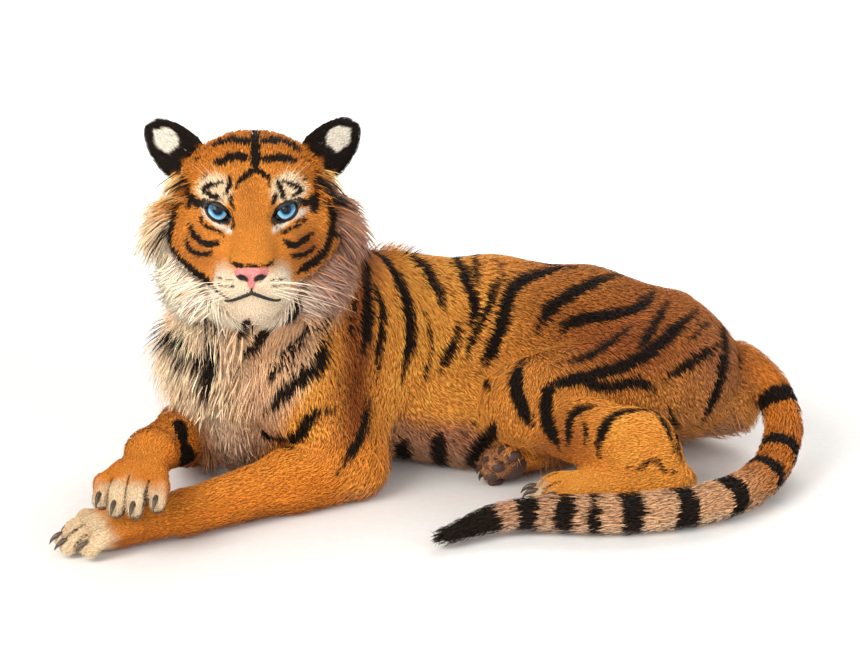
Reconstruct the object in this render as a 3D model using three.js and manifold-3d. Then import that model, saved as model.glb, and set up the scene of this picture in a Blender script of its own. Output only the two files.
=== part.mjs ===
// A life-size Siberian tiger lying with its head up, its forepaws crossed, its hips rolled to one side and
// its tail laid along its flank. Millimetres, +Z up. Its hindquarters point to +X, and its face to -Y.
//
// The flesh is a set of smooth fields: tapered bones and ellipsoids that melt into one another. A lattice
// turns each field into a closed surface, and thin flat cuts part it into the nodes that a person would name.
// The ruff, breast, nape and belly hair are flat tapered locks, fused to the node that they grow from.

import * as THREE from "three";
import { mergeVertices } from "three/addons/utils/BufferGeometryUtils.js";
import Module from "manifold-3d";

const wasm = await Module();
wasm.setup();

// ----------------------------------------------------------------------------------------------------
// Driving dimensions
// ----------------------------------------------------------------------------------------------------

const GAP = 0.4; // between the faces of touching nodes
const V = (x, y, z) => new THREE.Vector3(x, y, z);
const radians = THREE.MathUtils.degToRad;
const lerp = THREE.MathUtils.lerp;

// Landmarks of the skeleton, each the middle of the flesh round it.
const at = {
  // trunk, from the rump to the breast
  rumpEnd: V(572, 44, 122),
  hip: V(450, 60, 168),
  loin: V(300, 70, 182),
  ribs: V(120, 62, 188),
  withers: V(-60, 20, 200),
  breastRoot: V(-290, -105, 188),
  breast: V(-372, -150, 206),
  belly: V(150, -36, 96),
  // neck
  nape: V(-168, -68, 290),
  skullBase: V(-292, -272, 532),
  throatLow: V(-330, -185, 300),
  throatHigh: V(-308, -345, 462),
  // left foreleg, which lies nearest the viewer
  bladeL: V(-92, -70, 300),
  shoulderL: V(-250, -250, 232),
  elbowL: V(-152, -236, 60),
  wristL: V(-430, -450, 44),
  toesL: V(-644, -548, 27),
  // right foreleg, whose paw rests on the left wrist
  bladeR: V(-190, 62, 300),
  shoulderR: V(-424, -24, 226),
  elbowR: V(-446, -8, 63),
  wristR: V(-490, -424, 150),
  toesR: V(-520, -604, 104),
  // left hind leg, folded, foot forward on the floor
  hipL: V(476, -20, 186),
  kneeL: V(176, -186, 164),
  calfL: V(384, -250, 90),
  heelL: V(448, -282, 41),
  toesHL: V(176, -296, 29),
  // right hind leg, lying on its side with its foot out under the belly on the left
  hipR: V(478, 120, 110),
  kneeR: V(200, 206, 78),
  heelR: V(236, -96, 40),
  toesHR: V(96, -214, 50),
};

// The head's own frame: origin midway between the eyes, x to the tiger's right, y out of the face, z up.
const HEAD = { origin: V(-304, -420, 582), yaw: 3 }; // degrees
const EYE = { aside: 60, deep: 16, up: 0, radius: 21, seat: 17, opening: [39, 21], slant: 20 };
const MOUTH = { half: 46, centre: -122, corner: -139, groove: 3.2, philtrum: -104 };

const TAIL = {
  path: [
    V(540, 48, 190), V(606, 34, 184), V(660, -4, 150), V(682, -84, 98), V(650, -200, 57), V(584, -308, 40),
    V(490, -390, 38), V(392, -430, 38), V(300, -441, 37), V(208, -436, 37), V(120, -452, 35), V(30, -508, 24),
  ],
  rootRadius: 48,
  radius: 40,
  tipRadius: 20,
  rootShare: 0.12, // of the length, over which the root narrows
  taperFrom: 0.72, // share of the length where the tip begins to taper
  lengths: 5,
  sides: 12,
  ringsEach: 6,
};

const EAR = {
  height: 122, half: 53, cup: 30, thick: 8, rows: 7, columns: 8,
  base: V(110, -80, 68), tip: V(0.64, -0.14, 0.76), back: V(0.3, 0.95, -0.06),
};
// path: places ahead and up, as shares of the length; taper: the radius there; least: cubic millimetres kept
const CLAW = {
  length: 22, radius: 5.5, sides: 6, least: 20,
  path: [[-0.6, 0.1], [0.1, 0.16], [0.5, 0], [0.78, -0.3]], taper: [1, 0.9, 0.6, 0],
};

// Long hair. stops: how far along a lock each of its sections is, and its half width and half thickness
// there as shares. Each area has rows of locks, and the bounds of their lengths.
const LOCK = {
  half: 25, thick: 6, sink: 15, lift: 18, droop: 0.12, flat: 0.55,
  stops: [[0, 0.85, 1.1], [0.42, 1, 1], [0.76, 0.6, 0.7], [1, 0, 0]],
};
const HAIR = {
  ruff: { rows: [-44, -96], each: 7, from: 46, to: -78, length: [58, 82] },
  breast: { rows: [392, 338, 284, 230, 176, 122], each: 6, from: -86, to: 44, length: [62, 80] },
  nape: { each: 6, length: [40, 54] },
  belly: { each: 6, length: [44, 56] },
  rump: { each: 4, length: [40, 50] },
  elbow: { each: 3, length: [34, 42] },
};

const COLOURS = {
  coat: 0xd8832b, pale: 0xe9d9bd, dark: 0x1f150e, iris: 0x7fb8dc, nose: 0xc98683, claw: 0xcdbfa6,
};

// ----------------------------------------------------------------------------------------------------
// Fields: a shape is { blend, dist(x, y, z) }, its distance negative inside
// ----------------------------------------------------------------------------------------------------

// A tapered bone from a to b. wide stretches its section along the unit vector side.
function bone(a, b, ra, rb, blend = 40, wide = 1, side = V(0, 0, 1)) {
  const dx = b.x - a.x, dy = b.y - a.y, dz = b.z - a.z;
  const length2 = dx * dx + dy * dy + dz * dz;
  const squeeze = 1 - 1 / wide;
  return {
    blend,
    dist(x, y, z) {
      let px = x - a.x, py = y - a.y, pz = z - a.z;
      const t = Math.min(1, Math.max(0, (px * dx + py * dy + pz * dz) / length2));
      px -= dx * t;
      py -= dy * t;
      pz -= dz * t;
      const s = (px * side.x + py * side.y + pz * side.z) * squeeze;
      return Math.hypot(px - side.x * s, py - side.y * s, pz - side.z * s) - ra - (rb - ra) * t;
    },
  };
}

// An ellipsoid with radii along its own axes, turned by yaw degrees about Z.
function ball(c, rx, ry, rz, blend = 40, yaw = 0) {
  const cos = Math.cos(radians(yaw)), sin = Math.sin(radians(yaw));
  return {
    blend,
    dist(x, y, z) {
      const ox = x - c.x, oy = y - c.y;
      const px = (ox * cos + oy * sin) / rx, py = (oy * cos - ox * sin) / ry, pz = (z - c.z) / rz;
      const near = Math.hypot(px, py, pz);
      if (near < 1e-6) return -Math.min(rx, ry, rz);
      return (near * (near - 1)) / Math.hypot(px / rx, py / ry, pz / rz);
    },
  };
}

const soften = (a, b, k) => {
  const h = Math.max(k - Math.abs(a - b), 0) / k;
  return Math.min(a, b) - (h * h * k) / 4;
};
const hollow = (a, b, k) => -soften(-a, b, k); // a with b carved out

// The smooth union of shapes, each with its own blend.
const melt = (shapes) => (x, y, z) =>
  shapes.reduce((sum, s) => (sum === null ? s.dist(x, y, z) : soften(sum, s.dist(x, y, z), s.blend)), null);

// The way out of a field at a point.
function outward(field, p) {
  const e = 1.5;
  return V(
    field(p.x + e, p.y, p.z) - field(p.x - e, p.y, p.z),
    field(p.x, p.y + e, p.z) - field(p.x, p.y - e, p.z),
    field(p.x, p.y, p.z + e) - field(p.x, p.y, p.z - e),
  ).normalize();
}

// ----------------------------------------------------------------------------------------------------
// Surfaces from fields
// ----------------------------------------------------------------------------------------------------

// Lattice places from lo to hi: `fine` apart between from and to, and up to `coarse` apart elsewhere.
function lattice(lo, hi, coarse, fine = coarse, from = lo, to = hi) {
  const places = [lo];
  while (places.at(-1) < hi) {
    const here = places.at(-1);
    const away = Math.max(from - here, here - to, 0);
    places.push(here + Math.min(coarse, fine + away * 0.35));
  }
  return places;
}

// The surface where a field is 0: one point in each lattice cell that it crosses, and one quad round each
// crossed edge.
function levelSurface(field, [xs, ys, zs]) {
  const nx = xs.length, ny = ys.length, nz = zs.length;
  const id = (i, j, k) => (k * ny + j) * nx + i;
  const value = new Float64Array(nx * ny * nz);
  for (let k = 0; k < nz; k++)
    for (let j = 0; j < ny; j++)
      for (let i = 0; i < nx; i++) {
        const rim = i === 0 || j === 0 || k === 0 || i === nx - 1 || j === ny - 1 || k === nz - 1;
        value[id(i, j, k)] = rim ? 50 : field(xs[i], ys[j], zs[k]);
      }
  // A lattice square with its corners in and out by turns would make two sheets meet in one edge: it is
  // settled one way.
  const squares = [[1, nx], [1, nx * ny], [nx, nx * ny]];
  for (let changed = true, pass = 0; changed && pass < 8; pass++) {
    changed = false;
    for (let k = 1; k < nz - 1; k++)
      for (let j = 1; j < ny - 1; j++)
        for (let i = 1; i < nx - 1; i++)
          for (const [u, v] of squares) {
            const four = [0, u, u + v, v].map((o) => id(i, j, k) + o);
            const [a, b, c, d] = four.map((o) => value[o] < 0);
            if (a !== c || b !== d || a === b) continue;
            const sign = four.reduce((sum, o) => sum + value[o], 0) < 0 ? -1 : 1;
            for (const o of four) if (value[o] < 0 !== sign < 0) value[o] = 0.3 * sign;
            changed = true;
          }
  }
  const corners = [0, 1, 2, 3, 4, 5, 6, 7].map((c) => [c & 1, (c >> 1) & 1, c >> 2]);
  const edges = [];
  for (let a = 0; a < 8; a++) for (const bit of [1, 2, 4]) if (!(a & bit)) edges.push([a, a | bit]);
  const points = [];
  const cell = new Int32Array(nx * ny * nz).fill(-1);
  for (let k = 0; k < nz - 1; k++)
    for (let j = 0; j < ny - 1; j++)
      for (let i = 0; i < nx - 1; i++) {
        const v = corners.map(([a, b, c]) => value[id(i + a, j + b, k + c)]);
        const sum = V(0, 0, 0);
        let n = 0;
        for (const [a, b] of edges) {
          if (v[a] < 0 === v[b] < 0) continue;
          const t = v[a] / (v[a] - v[b]);
          const place = (axis, line, base) =>
            line[base + corners[a][axis]] * (1 - t) + line[base + corners[b][axis]] * t;
          sum.add(V(place(0, xs, i), place(1, ys, j), place(2, zs, k)));
          n++;
        }
        if (!n) continue;
        cell[id(i, j, k)] = points.length;
        points.push(sum.divideScalar(n));
      }
  const faces = [];
  const quad = (cells, flip) => {
    const [a, b, c, d] = (flip ? cells.reverse() : cells).map((n) => cell[n]);
    if (points[a].distanceTo(points[c]) <= points[b].distanceTo(points[d])) faces.push([a, b, c], [a, c, d]);
    else faces.push([a, b, d], [b, c, d]);
  };
  const [di, dj, dk] = [1, nx, nx * ny];
  for (let k = 0; k < nz - 1; k++)
    for (let j = 0; j < ny - 1; j++)
      for (let i = 0; i < nx - 1; i++) {
        const n = id(i, j, k);
        const here = value[n] < 0;
        if (here !== value[n + di] < 0) quad([n - dj - dk, n - dk, n, n - dj], !here);
        if (here !== value[n + dj] < 0) quad([n - di - dk, n - di, n, n - dk], !here);
        if (here !== value[n + dk] < 0) quad([n - di - dj, n - dj, n, n - di], !here);
      }
  return { points, faces };
}

const faceNormal = (p, [a, b, c]) => p[b].clone().sub(p[a]).cross(p[c].clone().sub(p[a]));

// The same closed surface with fewer faces: edges are closed up wherever the surface moves less than `error`
// and no face gets thinner than `shape`.
function thinned({ points, faces }, error, shape = 0.16) {
  const p = points.map((q) => q.clone());
  const quadric = p.map(() => new Float64Array(10));
  const addPlane = (q, { x, y, z }, d) =>
    [x * x, x * y, x * z, x * d, y * y, y * z, y * d, z * z, z * d, d * d].forEach((t, i) => (q[i] += t));
  for (const f of faces) {
    const n = faceNormal(p, f).normalize();
    f.forEach((v) => addPlane(quadric[v], n, -n.dot(p[v])));
  }
  const cost = (q, { x, y, z }) =>
    q[0] * x * x + 2 * q[1] * x * y + 2 * q[2] * x * z + 2 * q[3] * x + q[4] * y * y + 2 * q[5] * y * z +
    2 * q[6] * y + q[7] * z * z + 2 * q[8] * z + q[9];
  const best = (a, b) => {
    const q = quadric[a].map((t, i) => t + quadric[b][i]);
    const m = new THREE.Matrix3().set(q[0], q[1], q[2], q[1], q[4], q[5], q[2], q[5], q[7]);
    const tries = [p[a], p[b], p[a].clone().add(p[b]).multiplyScalar(0.5)];
    const middle = tries[2];
    if (Math.abs(m.determinant()) > 1e-3) {
      const ideal = V(-q[3], -q[6], -q[8]).applyMatrix3(m.clone().invert());
      if (ideal.distanceTo(middle) < p[a].distanceTo(p[b])) tries.push(ideal);
    }
    const costs = tries.map((t) => cost(q, t));
    const least = costs.indexOf(Math.min(...costs));
    return { a, b, q, to: tries[least].clone(), cost: costs[least] + 1e-5 * p[a].distanceToSquared(p[b]) };
  };
  let live = faces.map((f) => [...f]);
  for (let pass = 0; pass < 40; pass++) {
    const ring = p.map(() => []);
    live.forEach((f) => f.forEach((v) => ring[v].push(f)));
    const tries = [];
    for (const [a, b, c] of live)
      for (const [u, v] of [[a, b], [b, c], [c, a]]) if (u < v) tries.push(best(u, v));
    tries.sort((s, t) => s.cost - t.cost);
    const busy = new Set();
    let closed = 0;
    for (const { a, b, q, to, cost: c } of tries) {
      if (c > error * error || closed > tries.length / 8) break;
      if (busy.has(a) || busy.has(b)) continue;
      const near = (v) => new Set(ring[v].flat().filter((u) => u !== v));
      const around = [...near(a)].filter((v) => near(b).has(v));
      if (around.length !== 2) continue;
      const turned = [...ring[a], ...ring[b]].some((f) => {
        if (f.includes(a) && f.includes(b)) return false;
        const before = faceNormal(p, f);
        const moved = f.map((v) => (v === a || v === b ? to : p[v]));
        const after = moved[1].clone().sub(moved[0]).cross(moved[2].clone().sub(moved[0]));
        const longest = Math.max(...moved.map((q, i) => q.distanceToSquared(moved[(i + 1) % 3])));
        if (after.length() < shape * longest) return true;
        return before.length() > 1e-3 && after.dot(before) < 0.4 * after.length() * before.length();
      });
      if (turned) continue;
      p[a] = to;
      quadric[a] = q;
      [...near(a), ...near(b), a, b].forEach((v) => busy.add(v));
      ring[b].forEach((f) => (f[f.indexOf(b)] = a));
      closed++;
    }
    live = live.filter(([a, b, c]) => a !== b && b !== c && c !== a);
    if (!closed) break;
  }
  return { points: p, faces: live };
}

// The same surface moved out, so that each of its faces moves by at least `by`.
function grownBy({ points, faces }, by) {
  const normals = faces.map((f) => faceNormal(points, f));
  const sum = points.map(() => V(0, 0, 0));
  const least = points.map(() => 1);
  faces.forEach((f, i) => f.forEach((v) => sum[v].add(normals[i])));
  sum.forEach((n) => n.normalize());
  normals.forEach((n, i) => {
    n.normalize();
    for (const v of faces[i]) least[v] = Math.min(least[v], sum[v].dot(n));
  });
  const steepest = 0.45;
  const moved = points.map((q, v) => q.clone().addScaledVector(sum[v], by / Math.max(steepest, least[v])));
  return { points: moved, faces };
}

// ----------------------------------------------------------------------------------------------------
// Solids
// ----------------------------------------------------------------------------------------------------

// A closed geometry as a manifold-3d solid.
function solid(geometry, matrix = null) {
  const g = new THREE.BufferGeometry();
  g.setAttribute("position", geometry.getAttribute("position").clone());
  if (geometry.index) g.setIndex(geometry.index.clone());
  if (matrix) g.applyMatrix4(matrix);
  const merged = mergeVertices(g, 1e-4);
  const made = new wasm.Manifold(
    new wasm.Mesh({
      numProp: 3,
      vertProperties: new Float32Array(merged.attributes.position.array),
      triVerts: new Uint32Array(merged.index.array),
    }),
  );
  return made;
}

function geometryOf({ points, faces }) {
  const used = [...new Set(faces.flat())];
  const place = new Map(used.map((v, i) => [v, i]));
  const g = new THREE.BufferGeometry();
  g.setAttribute("position", new THREE.Float32BufferAttribute(used.flatMap((v) => points[v].toArray()), 3));
  g.setIndex(faces.flat().map((v) => place.get(v)));
  return g;
}

const solidOf = (surface, matrix = null) => solid(geometryOf(surface), matrix);

// The half-space past a plane, its face half a gap beyond the point.
function beyond(point, normal) {
  const size = 4000;
  const n = normal.clone().normalize();
  const turn = new THREE.Quaternion().setFromUnitVectors(V(0, 0, 1), n);
  const centre = point.clone().addScaledVector(n, size / 2 + GAP / 2);
  const place = new THREE.Matrix4().compose(centre, turn, V(1, 1, 1));
  return solid(new THREE.BoxGeometry(size, size, size), place);
}

// A manifold-3d solid as points and faces, without the slivers that cuts leave.
function surfaceOf(s) {
  const m = s.getMesh();
  const at3 = (i) => V(...m.vertProperties.subarray(i * m.numProp, i * m.numProp + 3));
  const points = Array.from({ length: m.numVert }, (_, i) => at3(i));
  const faces = Array.from({ length: m.numTri }, (_, i) => [...m.triVerts.subarray(3 * i, 3 * i + 3)]);
  return thinned({ points, faces }, 0.05, 0.004);
}

const largest = (s) => s.decompose().reduce((a, b) => (a.volume() > b.volume() ? a : b));

const FLOOR = beyond(V(0, 0, -GAP / 2), V(0, 0, 1)); // all above z = 0

// A field as a solid that stands on the floor, and the same solid grown by the gap, which cuts neighbours.
function flesh(field, places, error, frame = null) {
  const surface = thinned(levelSurface(field, places), error);
  return {
    body: solidOf(surface, frame).intersect(FLOOR),
    grown: solidOf(grownBy(surface, GAP), frame),
  };
}

// Rings of points joined into a closed tube. A ring of one point is a tip.
function tube(rings) {
  const points = rings.flat();
  const starts = rings.map((_, i) => rings.slice(0, i).reduce((n, r) => n + r.length, 0));
  const faces = [];
  for (let i = 0; i + 1 < rings.length; i++) {
    const n = Math.max(rings[i].length, rings[i + 1].length);
    const [a, b] = [starts[i], starts[i + 1]];
    for (let j = 0; j < n; j++) {
      const k = (j + 1) % n;
      if (rings[i + 1].length === 1) faces.push([a + j, a + k, b]);
      else if (rings[i].length === 1) faces.push([a, b + k, b + j]);
      else faces.push([a + j, a + k, b + k], [a + j, b + k, b + j]);
    }
  }
  for (const [start, ring, flip] of [[0, rings[0], true], [starts.at(-1), rings.at(-1), false]])
    for (let j = 1; j + 1 < ring.length; j++)
      faces.push(flip ? [start, start + j + 1, start + j] : [start, start + j, start + j + 1]);
  return { points, faces };
}

// A ring of points round a centre, in the plane of two unit vectors whose cross product points down the tube.
const ringAt = (centre, across, up, rx, ry, sides) =>
  Array.from({ length: sides }, (_, j) => {
    const t = (2 * Math.PI * j) / sides;
    return centre.clone().addScaledVector(across, rx * Math.cos(t)).addScaledVector(up, ry * Math.sin(t));
  });

// A round tube along a path of points, with a radius at each and, if given, the way that the path runs there.
function sweep(path, radii, sides, up = V(0, 0, 1), ways = null) {
  const rings = path.map((q, i) => {
    const ahead = ways
      ? ways[i]
      : path[Math.min(i + 1, path.length - 1)].clone().sub(path[Math.max(i - 1, 0)]).normalize();
    const across = up.clone().cross(ahead).normalize();
    if (!radii[i]) return [q.clone()];
    return ringAt(q, across, ahead.clone().cross(across), radii[i], radii[i], sides);
  });
  return tube(rings);
}

// ----------------------------------------------------------------------------------------------------
// Locks of long hair
// ----------------------------------------------------------------------------------------------------

// Numbers from 0 to 1 that come out the same every time.
let seed = 20811;
function chance() {
  seed = (seed * 1664525 + 1013904223) % 4294967296;
  return seed / 4294967296;
}
const between = (a, b) => a + (b - a) * chance();

// The point where a straight way out from a point inside crosses a field's surface.
function reach(field, from, way) {
  const n = way.clone().normalize();
  let [near, far] = [0, 420];
  for (let i = 0; i < 26; i++) {
    const t = (near + far) / 2;
    const q = from.clone().addScaledVector(n, t);
    if (field(q.x, q.y, q.z) < 0) near = t;
    else far = t;
  }
  return from.clone().addScaledVector(n, near);
}

// One lock: a flat blade that leaves the flesh at root, bends over along the lie and tapers to a tip.
function blade({ root, out, lie, length }, grow) {
  const along = lie.clone().addScaledVector(out, -LOCK.flat * lie.dot(out)).normalize();
  const curve = new THREE.QuadraticBezierCurve3(
    root.clone().addScaledVector(out, -LOCK.sink - grow),
    root.clone().addScaledVector(out, LOCK.lift).addScaledVector(along, 0.45 * length),
    root.clone().addScaledVector(along, length + 3 * grow).addScaledVector(V(0, 0, -1), LOCK.droop * length),
  );
  const across = along.clone().cross(out).normalize();
  const rings = LOCK.stops.map(([t, wide, thick]) => {
    const up = curve.getTangent(t).cross(across).normalize();
    const centre = curve.getPoint(t);
    return wide
      ? ringAt(centre, across, up, wide * LOCK.half + 2 * grow, thick * LOCK.thick + 2 * grow, 4)
      : [centre];
  });
  return solidOf(tube(rings));
}

// ----------------------------------------------------------------------------------------------------
// The head, in its own frame
// ----------------------------------------------------------------------------------------------------

const headMatrix = new THREE.Matrix4().compose(
  HEAD.origin,
  new THREE.Quaternion().setFromAxisAngle(V(0, 0, 1), radians(180 + HEAD.yaw)),
  V(1, 1, 1),
);
const headInverse = headMatrix.clone().invert();

const eyeBall = ball(V(EYE.aside, EYE.deep, EYE.up), 27, 25, 25, 9);
const headBones = [
  ball(V(0, -92, 26), 112, 112, 94, 30), // braincase
  bone(V(20, -66, 62), V(74, -76, 44), 56, 52, 40), // crown
  ball(V(0, -22, 30), 80, 50, 44, 36), // forehead
  bone(V(24, 16, 34), V(86, -16, 28), 17, 15, 24), // brow
  bone(V(50, 26, -46), V(112, -60, -30), 40, 44, 34), // cheekbone
  ball(V(92, -64, -66), 56, 78, 76, 44), // cheek
  bone(V(0, 8, 10), V(0, 94, -60), 37, 31, 30, 1.2, V(1, 0, 0)), // bridge of the nose
  bone(V(0, 30, -92), V(0, 76, -102), 60, 46, 30), // muzzle
  ball(V(30, 84, -106), 36, 38, 31, 12), // whisker pad
  ball(V(0, 76, -150), 40, 34, 27, 14), // chin
  bone(V(0, 56, -142), V(66, -56, -124), 36, 50, 34), // jaw
  ball(V(0, -44, -118), 80, 90, 68, 46), // throat
];
const socket = ball(V(60, 48, -2), 25, 18, 15, 18);

const headFlesh = melt(headBones);
function headLocal(x, y, z) {
  const side = Math.abs(x);
  const carved = hollow(headFlesh(side, y, z), socket.dist(side, y, z), socket.blend);
  return soften(carved, eyeBall.dist(side, y, z), eyeBall.blend);
}
function headWorld(x, y, z) {
  const e = headInverse.elements;
  return headLocal(
    e[0] * x + e[4] * y + e[8] * z + e[12],
    e[1] * x + e[5] * y + e[9] * z + e[13],
    e[2] * x + e[6] * y + e[10] * z + e[14],
  );
}
const fromHead = (p) => p.clone().applyMatrix4(headMatrix);
const turnHead = (d) => d.clone().transformDirection(headMatrix);

// ----------------------------------------------------------------------------------------------------
// Trunk, neck, shoulders and thighs
// ----------------------------------------------------------------------------------------------------

const trunkField = melt([
  bone(at.hip, at.rumpEnd, 134, 94, 50),
  bone(at.loin, at.hip, 152, 134, 60, 1.12),
  bone(at.ribs, at.loin, 162, 150, 60, 1.16),
  bone(at.withers, at.ribs, 164, 162, 60, 1.16),
  bone(at.breastRoot, at.withers, 146, 164, 60, 1.16),
  ball(at.breast, 112, 135, 164, 60, 35),
  ball(at.belly, 230, 140, 112, 60),
  bone(at.nape, at.skullBase, 128, 104, 90),
  bone(at.throatLow, at.throatHigh, 118, 92, 70),
  bone(at.bladeL, at.shoulderL, 62, 84, 40),
  bone(at.shoulderL, at.elbowL, 90, 60, 40),
  bone(at.bladeL, at.elbowL, 74, 60, 40),
  bone(at.bladeR, at.shoulderR, 62, 84, 40),
  bone(at.shoulderR, at.elbowR, 88, 66, 40),
  bone(at.hipL, at.kneeL, 120, 84, 45),
  bone(at.hipR, at.kneeR, 118, 84, 45),
]);
const bodyField = (x, y, z) => soften(trunkField(x, y, z), headWorld(x, y, z), 55);

// ----------------------------------------------------------------------------------------------------
// Legs and paws
// ----------------------------------------------------------------------------------------------------

// Four toes side by side past the end of a limb. root is the wrist or heel, tip the end of the middle toes.
function paw(root, tip, { width, thick, spread, rise, roll = 0 }) {
  const ahead = tip.clone().sub(root);
  const length = ahead.length();
  ahead.normalize();
  const aside = V(-ahead.y, ahead.x, 0).normalize().applyAxisAngle(ahead, radians(roll));
  const up = aside.clone().cross(ahead).normalize();
  if (up.z < 0) up.negate();
  const place = (f, s, u) =>
    root.clone().addScaledVector(ahead, f * length).addScaledVector(aside, s).addScaledVector(up, u);
  const shapes = [bone(place(0, 0, 0), place(spread, 0, 0), thick, thick * 0.98, 20, 1.25, aside)];
  const claws = [];
  for (const lane of [-1.5, -0.5, 0.5, 1.5]) {
    const off = (lane * width) / 4;
    const reach = Math.abs(lane) > 1 ? 0.88 : 1;
    const r = width / 7.6;
    const knuckle = place(reach - 42 / length, off, rise);
    const end = place(reach - 18 / length, off * 1.02, -thick * 0.22);
    shapes.push(bone(place(spread * 0.6, off * 0.7, thick * 0.2), knuckle, r * 0.96, r * 1.04, 9));
    shapes.push(bone(knuckle, end, r * 1.04, r * 0.94, 9));
    claws.push(place(reach - 10 / length, off * 1.02, 0));
  }
  return { shapes, claws, ahead, up };
}

const foreSize = { width: 132, thick: 37, spread: 0.62, rise: 10 };
const hindSize = { width: 104, thick: 34, spread: 0.78, rise: 6 };
const pawL = paw(at.wristL, at.toesL, foreSize);
const pawR = paw(at.wristR, at.toesR, foreSize);
const footL = paw(at.heelL, at.toesHL, hindSize);
const footR = paw(at.heelR, at.toesHR, { ...hindSize, roll: 52 });

const foreField = (elbow, wrist, p) =>
  melt([
    bone(elbow, wrist, 66, 43, 30),
    bone(elbow, elbow.clone().lerp(wrist, 0.35), 68, 60, 30),
    ...p.shapes,
  ]);

const fieldOf = {
  foreL: foreField(at.elbowL, at.wristL, pawL),
  foreR: foreField(at.elbowR, at.wristR, pawR),
  hindL: melt([
    bone(at.kneeL, at.calfL, 74, 66, 30),
    bone(at.calfL, at.heelL, 66, 44, 30),
    ball(at.calfL, 76, 62, 78, 30),
    ...footL.shapes,
  ]),
  footR: melt(footR.shapes),
};

// Lattice places round a list of points.
function around(points, pad, cell) {
  const box = new THREE.Box3().setFromPoints(points).expandByScalar(pad);
  return ["x", "y", "z"].map((a) => lattice(box.min[a], box.max[a], cell));
}

// A limb as two nodes, long part and paw, parted `past` millimetres beyond the joint on the way to the tip.
function limb(field, from, joint, tip, past, pad, coarse, fine) {
  const along = tip.clone().sub(joint).normalize();
  const cut = joint.clone().addScaledVector(along, past);
  const back = along.clone().negate();
  const upper = flesh(field, around([from, joint, cut.clone().addScaledVector(along, 12)], pad, coarse), 6);
  const lower = flesh(field, around([cut.clone().addScaledVector(back, 12), tip], pad, fine), 2.8);
  const part = (s, side, slack) => s.intersect(beyond(cut.clone().addScaledVector(side, -slack), side));
  return {
    upper: largest(part(upper.body, back, 0)),
    lower: largest(part(lower.body, along, 0)),
    grown: part(upper.grown, back, 1).add(part(lower.grown, along, 1)),
  };
}

// ----------------------------------------------------------------------------------------------------
// Assembly
// ----------------------------------------------------------------------------------------------------

const nodes = new Map(); // name -> { solid, colour }
const put = (name, s, colour = COLOURS.coat) => nodes.set(name, { solid: largest(s), colour });

const foreL = limb(fieldOf.foreL, at.elbowL, at.wristL, at.toesL, 4, 108, 19, 11);
const foreR = limb(fieldOf.foreR, at.elbowR, at.wristR, at.toesR, 4, 108, 19, 11);
const hindL = limb(fieldOf.hindL, at.kneeL, at.heelL, at.toesHL, 62, 112, 21, 12);
const footRight = flesh(fieldOf.footR, around([at.heelR, at.toesHR], 80, 13), 2.4);

const trunk = flesh(bodyField, [lattice(-600, 740, 30), lattice(-420, 400, 26), lattice(-40, 640, 26)], 6);
const toHead = (field) => {
  const e = headMatrix.elements;
  return (x, y, z) =>
    field(
      e[0] * x + e[4] * y + e[8] * z + e[12],
      e[1] * x + e[5] * y + e[9] * z + e[13],
      e[2] * x + e[6] * y + e[10] * z + e[14],
    );
};
const headWhole = flesh(
  toHead(bodyField),
  [
    lattice(-200, 200, 18, 8, -92, 92),
    lattice(-260, 170, 22, 8, 0, 150),
    lattice(-240, 170, 20, 8, -180, 45),
  ],
  2.4,
  headMatrix,
);

// What a plane leaves on its far side, with all the planes of a region together, and the rest of the solid.
const region = (planes, slack = 0) =>
  planes.map(([point, n]) => beyond(point.clone().addScaledVector(n.clone().normalize(), -slack), n))
    .reduce((a, b) => a.intersect(b));
const carve = (s, planes) => [largest(s.intersect(region(planes))), largest(s.subtract(region(planes, GAP)))];

const neckAxis = at.skullBase.clone().sub(at.nape).normalize();
const planes = {
  head: [[at.skullBase.clone().addScaledVector(neckAxis, 2), neckAxis]],
  cheekL: [[fromHead(V(-97, -20, -60)), turnHead(V(-1, -0.34, 0))]],
  cheekR: [[fromHead(V(97, -20, -60)), turnHead(V(1, -0.34, 0))]],
  neck: [[V(-190, -104, 352), V(-0.25, -0.42, 0.87)]],
  breast: [[V(-322, -158, 0), V(-0.766, -0.643, 0)]],
  fore: [[V(-88, 0, 0), V(-0.94, -0.34, 0)]],
  upperArmL: [[V(-160, -142, 0), V(0.5, -0.87, 0)]],
  upperArmR: [[V(-352, 44, 0), V(-0.5, 0.87, 0)]],
  thighL: [[V(0, -100, 0), V(0, -1, 0.12)], [V(112, 0, 250), V(0.94, 0, -0.34)]],
  thighR: [[V(0, 156, 0), V(0, 1, 0.1)], [V(84, 0, 0), V(1, 0, 0)]],
  belly: [[V(0, -70, 100), V(0, -0.6, -0.8)], [V(330, 0, 0), V(-1, 0, 0)]],
  hips: [[V(410, 0, 0), V(1, 0, 0)]],
  loin: [[V(205, 0, 0), V(1, 0, 0)]],
};

let head = largest(headWhole.body.intersect(region(planes.head)));
let rest = largest(trunk.body.subtract(region(planes.head, GAP)));
const headGrown = headWhole.grown.intersect(region(planes.head, 1));

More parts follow.
